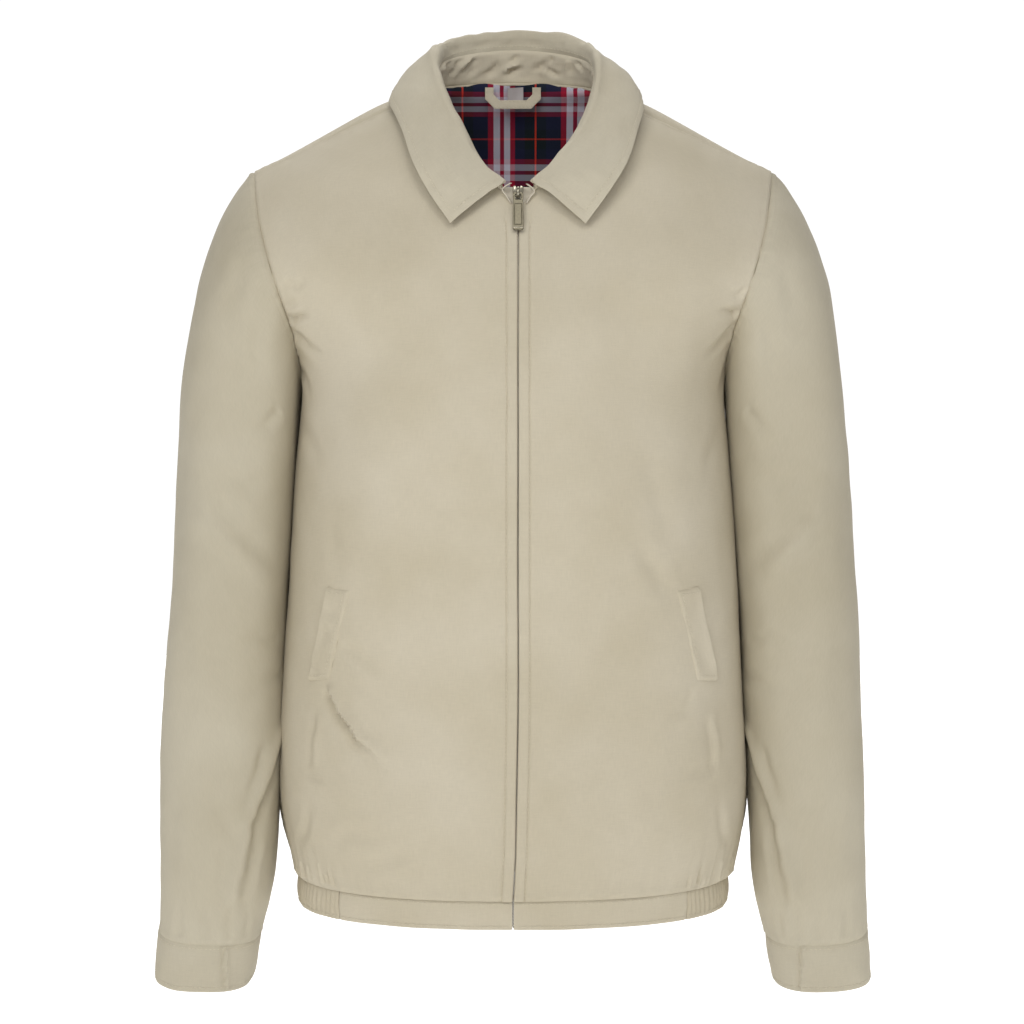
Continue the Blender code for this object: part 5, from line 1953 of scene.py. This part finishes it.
@dataclass
class Zip:
    """The zip: two tapes, the moulded teeth, the slider and its pull tab."""

    tape_inner: float = 3.4
    tape_outer: float = 15.0
    tape_top: float = -74.0
    teeth_top: float = -84.5
    bottom: float = -661.0
    pitch: float = 2.3
    slider_at: tuple[float, float, float] = (4.0, -88.6, -78.0)
    pull_axis: tuple[float, float, float] = (4.0, -94.2, -78.4)
    pull_lean: float = 21.0

    def line(self, z: np.ndarray) -> tuple[np.ndarray, np.ndarray]:
        """The middle of the closed zip.

        Args:
            z: heights.

        Returns:
            x and y on the face of the closed fronts.
        """
        rows = [row for row in FRONT_ROWS if row.inner[0] < 13]
        steps = fine_steps(rows, 6.0)
        edge = through([row.inner for row in rows], steps)
        lean = column(rows, "lean", steps)
        return np.interp(z, edge[:, 2], lean), np.interp(z, edge[:, 2], edge[:, 1])

    def behind(self, z: np.ndarray) -> np.ndarray:
        """How far behind the face the zip lies at a height: farther where the band is in front of it."""
        plain = SHELL_WALL + SEAM_GAP + 0.3
        return plain + (BAND_WALL + 2.6) * smooth_step((-632 - z) / 6)

    def build_tapes(self) -> None:
        """Makes the tapes, with the fold of each at its upper end."""
        for side, label in Sides:
            z = np.linspace(self.bottom, self.tape_top, 200)
            x, y = self.line(z)
            y = y + self.behind(z)
            reach = np.linspace(self.tape_inner, self.tape_outer, 9)
            grid = np.stack(
                [
                    x[:, None] + side * reach[None, :],
                    y[:, None] + reach[None, :] * 0.06 + 0.15 * np.sin(z / 7)[:, None],
                    np.repeat(z[:, None], len(reach), axis=1),
                ],
                axis=2,
            )
            tape = Cloth(f"zip_tape_{label}_web", grid, TAPE_WALL, side < 0, finish=ZIP_TAPE, inside=ZIP_TAPE)
            lay(tape, f"zip_tape_{label}")

    def build_tape_ends(self) -> None:
        """Makes the folded ends of the tapes, which open beside the slider."""
        turns = {
            -1: ((-1.6, -86.2), (-5.2, -80.5), (-8.2, -75.6), (-5.4, -73.0), (-2.0, -71.2)),
            1: ((10.6, -86.4), (13.6, -81.5), (16.6, -77.0), (14.0, -73.8), (11.0, -71.8)),
        }
        for side, label in Sides:
            line = through([(x, z) for x, z in turns[side]], (7, 7, 5, 5))
            steps = 5
            grid = np.empty((len(line), steps + 1, 3))
            for k in range(steps + 1):
                share = k / steps
                depth = -92.4 + 3.0 * share - 0.5 * math.sin(math.pi * share)
                shift = 1.1 * share
                grid[:, k] = np.stack([line[:, 0] - side * shift, np.full(len(line), depth), line[:, 1]], axis=1)
            end = Cloth(f"zip_tape_end_{label}", grid, 0.7, side > 0, finish=ZIP_TAPE, inside=ZIP_TAPE)
            lay(end, None)

    def build_teeth(self) -> None:
        """Makes the teeth, which lock from both sides in turn."""
        outline = np.array([(0.2, -0.55), (1.0, -0.75), (2.9, -0.6), (2.9, 0.6), (1.0, 0.75), (0.2, 0.55)])
        points, faces = [], []
        count = int((self.teeth_top - self.bottom) / self.pitch)
        for n in range(count):
            for side in (1, -1):
                z = self.bottom + 1.0 + self.pitch * (n + (0.5 if side < 0 else 0))
                x, y = (float(v) for v in self.line(np.array(z)))
                y += float(self.behind(np.array(z)))
                first = len(points)
                for depth, shrink in ((-0.25, 0.75), (0.1, 1.0), (1.7, 1.0), (2.0, 0.75)):
                    for px, pz in outline:
                        points.append((x + side * (1.4 + (px - 1.4) * shrink) - side * 0.4, y + depth, z + pz * shrink))
                around = len(outline)
                for layer in range(3):
                    for k in range(around):
                        a, b = first + layer * around + k, first + layer * around + (k + 1) % around
                        face = (a, b, b + around, a + around)
                        faces.append(face if side > 0 else face[::-1])
                near, far = [first + k for k in range(around)], [first + 3 * around + k for k in range(around)]
                faces.append(near[::-1] if side > 0 else near)
                faces.append(far if side > 0 else far[::-1])
        fix(plain_object("zip_teeth", points, faces, COIL), COIL, "zip_chain")

    def build_slider(self) -> None:
        """Makes the slider: a body with two shoulders, the crown between them, and the bail."""
        cx, cy, cz = self.slider_at
        half = np.array(
            [(0, 3.6), (1.3, 3.8), (2.0, 5.0), (3.4, 5.0), (4.3, 3.9), (4.3, 0.8), (3.5, -3.6), (2.8, -5.0), (0, -5.0)]
        )
        outline = np.concatenate([half, half[-2:0:-1] * (-1, 1)])
        layers = ((-2.75, 0.82), (-2.35, 0.96), (-1.9, 1.0), (-1.0, 1.0), (-0.9, 0.8), (0.9, 0.8), (1.0, 1.0),
                  (1.9, 1.0), (2.35, 0.96), (2.75, 0.82))
        obj = stack_object("zip_slider_body", outline, layers, (cx, cy, cz), RUBBED_METAL)
        fix(obj, RUBBED_METAL, "zip_slider")
        bend = [(cy - 2.6, cz + 3.4), (cy - 5.2, cz + 3.9), (cy - 7.3, cz + 2.2), (cy - 7.6, cz - 0.8),
                (cy - 6.0, cz - 3.0), (cy - 2.6, cz - 3.4)]
        line = through(bend, (5, 5, 5, 5, 5))
        path = np.stack([np.full(len(line), cx), line[:, 0], line[:, 1]], axis=1)
        fix(rod_object("zip_slider_bail", path, 1.05, 0.6, RUBBED_METAL), RUBBED_METAL)

    def straight(self, corners: Sequence) -> np.ndarray:
        """A path of straight runs from corner to corner."""
        runs = [np.linspace(a, b, 6)[:-1] for a, b in zip(corners, corners[1:])]
        return np.concatenate([*runs, [corners[-1]]])

    def build_pull(self) -> None:
        """Makes the pull tab, with a waisted neck, an eye, a sunk panel and a lip at its foot."""
        tilt = math.radians(self.pull_lean)
        half = [(2.4, 0.5), (3.5, 0.1), (4.0, -1.2), (4.0, -5.6), (3.9, -7.4), (4.0, -9.5), (4.25, -28.0),
                (4.1, -30.0), (3.3, -30.9)]
        outline = np.array([*half, *[(-x, z) for x, z in reversed(half)]], float)
        eye = np.array([(2.2, -1.2), (2.5, -2.4), (2.5, -4.4), (1.9, -5.6), (-1.9, -5.6), (-2.5, -4.4), (-2.5, -2.4),
                        (-2.2, -1.2)])
        tab = tab_object("zip_pull_tab", outline, eye, 0.7)
        tab.modifiers["soft"].width = 0.28 * MM
        panel = np.array([(2.7, -9.2), (2.9, -26.4), (-2.9, -26.4), (-2.7, -9.2)])
        rim = rod_object(
            "zip_pull_rim", self.straight([(x, -0.75, z) for x, z in [*panel, panel[0]]]), 0.32, 0.32, GUNMETAL
        )
        lip = rod_object(
            "zip_pull_lip", through([(-3.8, -0.6, -28.8), (0, -0.95, -28.9), (3.8, -0.6, -28.8)], (6, 6)), 0.62, 0.5,
            RUBBED_METAL,
        )
        for obj, finish, nodes in ((tab, GUNMETAL, ("zip_pull",)), (rim, GUNMETAL, ()), (lip, RUBBED_METAL, ())):
            for vert in obj.data.vertices:
                x, y, z = vert.co
                turned = (x, y * math.cos(tilt) + z * math.sin(tilt), z * math.cos(tilt) - y * math.sin(tilt))
                vert.co = Vector(turned) + Vector(self.pull_axis) * MM
            fix(obj, finish, *nodes, body=PULL_TAB)

    def build(self) -> None:
        """Makes the zip."""
        self.build_tapes()
        self.build_tape_ends()
        self.build_teeth()
        self.build_slider()
        self.build_pull()


def stack_object(
    name: str, outline: np.ndarray, layers: Sequence[tuple[float, float]], centre: Sequence[float], finish: Finish
) -> bpy.types.Object:
    """A shape of layers in depth, each the outline at a scale.

    Args:
        name: of the object.
        outline: (x, z) points.
        layers: pairs of depth and scale.
        centre: where it sits.
        finish: its finish.

    Returns:
        The object.
    """
    around = len(outline)
    points = [
        (centre[0] + x * scale, centre[1] + depth, centre[2] + z * scale) for depth, scale in layers for x, z in outline
    ]
    faces: list[Sequence[int]] = []
    for layer in range(len(layers) - 1):
        for k in range(around):
            a, b = layer * around + k, layer * around + (k + 1) % around
            faces.append((a, b, b + around, a + around))
    faces.append(list(range(around))[::-1])
    faces.append([(len(layers) - 1) * around + k for k in range(around)])
    obj = plain_object(name, points, faces, finish, angle=35)
    set_out(obj)
    return obj


def set_out(obj: bpy.types.Object) -> None:
    """Turns every face of a closed mesh outwards."""
    built = bmesh.new()
    built.from_mesh(obj.data)
    bmesh.ops.recalc_face_normals(built, faces=built.faces)
    built.to_mesh(obj.data)
    built.free()


def rod_object(name: str, path: np.ndarray, wide: float, thick: float, finish: Finish) -> bpy.types.Object:
    """A rounded wire along a path, wider along x or across it.

    Args:
        name: of the object.
        path: its middle line.
        wide: half its width.
        thick: half its thickness.
        finish: its finish.

    Returns:
        The object.
    """
    way = np.gradient(path, axis=0)
    way /= np.linalg.norm(way, axis=1, keepdims=True)
    flat = np.ptp(path[:, 0]) < 1e-6
    across = np.tile((1.0, 0, 0), (len(path), 1)) if flat else np.cross(way, (0, 1.0, 0))
    across /= np.linalg.norm(across, axis=1, keepdims=True)
    up = np.cross(way, across)
    sides = 10
    turns = math.tau * np.arange(sides) / sides
    ring = across[:, None] * wide * np.cos(turns)[None, :, None] + up[:, None] * thick * np.sin(turns)[None, :, None]
    grid = path[:, None] + ring
    faces = quads(len(path), sides, closed=True).tolist()
    faces += [list(range(sides))[::-1], [len(path) * sides - sides + k for k in range(sides)]]
    obj = plain_object(name, grid.reshape(-1, 3), faces, finish)
    set_out(obj)
    return obj


def tab_object(name: str, outline: np.ndarray, eye: np.ndarray, half: float) -> bpy.types.Object:
    """A flat tab with an eye through it and soft edges.

    Args:
        name: of the object.
        outline: its (x, z) points.
        eye: the hole's points.
        half: half its thickness.

    Returns:
        The object.
    """
    built = bmesh.new()
    rims = []
    for ring in (outline, eye):
        verts = [built.verts.new((x * MM, -half * MM, z * MM)) for x, z in ring]
        rims += [built.edges.new((a, b)) for a, b in zip(verts, verts[1:] + verts[:1])]
    bmesh.ops.triangle_fill(built, use_beauty=True, use_dissolve=True, edges=rims)
    grown = bmesh.ops.extrude_face_region(built, geom=built.faces[:])
    moved = [item for item in grown["geom"] if isinstance(item, bmesh.types.BMVert)]
    bmesh.ops.translate(built, verts=moved, vec=(0, 2 * half * MM, 0))
    bmesh.ops.recalc_face_normals(built, faces=built.faces)
    mesh = bpy.data.meshes.new(name)
    built.to_mesh(mesh)
    built.free()
    mesh.shade_smooth()
    mesh.set_sharp_from_angle(angle=math.radians(35))
    obj = bpy.data.objects.new(name, mesh)
    bpy.context.scene.collection.objects.link(obj)
    mesh.materials.append(GUNMETAL.material())
    soft = obj.modifiers.new("soft", "BEVEL")
    soft.segments, soft.limit_method, soft.angle_limit = 2, "ANGLE", math.radians(40)
    return obj


# -------------------- Studio


@dataclass
class Studio:
    """The paper floor, the lamps and the camera."""

    eye: tuple[float, float, float] = (-0.0008, -2.8, -0.05)
    aim: tuple[float, float, float] = (-0.0008, 0.0, -0.34)
    lens: float = 120.7
    floor_z: float = -0.80
    floor_radius: float = 2.4
    world: float = 0.36
    backdrop: float = 1.05

    def build_floor(self) -> None:
        """Makes the round paper floor, open on all sides."""
        turn = np.linspace(0, math.tau, 96, endpoint=False)
        rim = np.stack([np.cos(turn), np.sin(turn), 0 * turn], axis=1) * self.floor_radius
        points = (np.concatenate([rim * share for share in (1.0, 0.5)]) + (0, 0, self.floor_z)) / MM
        ring = [(k, (k + 1) % 96, (k + 1) % 96 + 96, k + 96) for k in range(96)]
        plain_object("paper_floor", points, [*ring, tuple(range(96, 192))], PAPER)

    def build_air(self) -> None:
        """Gives the room a soft even light and a white backdrop."""
        world = bpy.data.worlds.new("studio_air")
        world.use_nodes = True
        tree = world.node_tree
        soft = tree.nodes["Background"]
        soft.inputs["Color"].default_value = hex_to_linear("FBFBFF")
        soft.inputs["Strength"].default_value = self.world
        white = add_node(tree, "ShaderNodeBackground", {"Color": hex_to_linear("FFFFFF"), "Strength": self.backdrop})
        seen = add_node(tree, "ShaderNodeLightPath").outputs["Is Camera Ray"]
        mixed = add_node(tree, "ShaderNodeMixShader", {0: seen, 1: soft.outputs[0], 2: white.outputs[0]})
        tree.links.new(mixed.outputs[0], tree.nodes["World Output"].inputs["Surface"])
        bpy.context.scene.world = world

    def lamp(self, name: str, place: Sequence[float], target: Sequence[float], size: float, power: float) -> None:
        """Hangs a softbox.

        Args:
            name: of the lamp.
            place: where it is.
            target: what it points at.
            size: of its side.
            power: in watts.
        """
        data = bpy.data.lights.new(name, "AREA")
        data.shape, data.size, data.energy = "SQUARE", size, power
        obj = bpy.data.objects.new(name, data)
        obj.location = place
        obj.rotation_euler = (Vector(target) - Vector(place)).to_track_quat("-Z", "Y").to_euler()
        bpy.context.scene.collection.objects.link(obj)

    def build(self) -> None:
        """Sets up the studio."""
        scene = bpy.context.scene
        scene.view_settings.view_transform = "Standard"
        self.build_floor()
        self.build_air()
        middle = (0, 0, -0.15)
        self.lamp("key_softbox", (-0.5, -1.5, 0.55), (0, 0, -0.1), 0.6, 7.6)
        self.lamp("fill_softbox", (0.6, -2.2, 0.9), middle, 1.2, 7.5)
        self.lamp("top_softbox", (0.1, -1.3, 0.9), (0, 0.05, 0.03), 0.4, 3.4)
        self.lamp("back_softbox", (0.0, 2.0, 2.2), (0.0, 1.7, -0.8), 2.0, 62)
        data = bpy.data.cameras.new("camera")
        data.lens, data.sensor_width = self.lens, 36.0
        camera = bpy.data.objects.new("camera", data)
        camera.location = self.eye
        camera.rotation_euler = (Vector(self.aim) - Vector(self.eye)).to_track_quat("-Z", "Y").to_euler()
        scene.collection.objects.link(camera)
        scene.camera = camera


def main() -> None:
    """Builds the jacket around its frame, then the studio."""
    logging.basicConfig(level=logging.INFO, format="%(name)s: %(message)s")
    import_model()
    trim = Sewing("shell_topstitching")
    fronts, back = Fronts(), Back()
    fronts.cut()
    back.cut()
    fronts.build(trim)
    Sleeves().build(fronts, back, trim)
    HemBand().build(trim)
    collar = Collar()
    collar.build(fronts, back, trim)
    NeckTrim().build(collar, trim)
    Pockets().build(fronts, trim)
    Zip().build()
    back.build()
    trim.make()
    Studio().build()


if __name__ == "__main__":
    main()
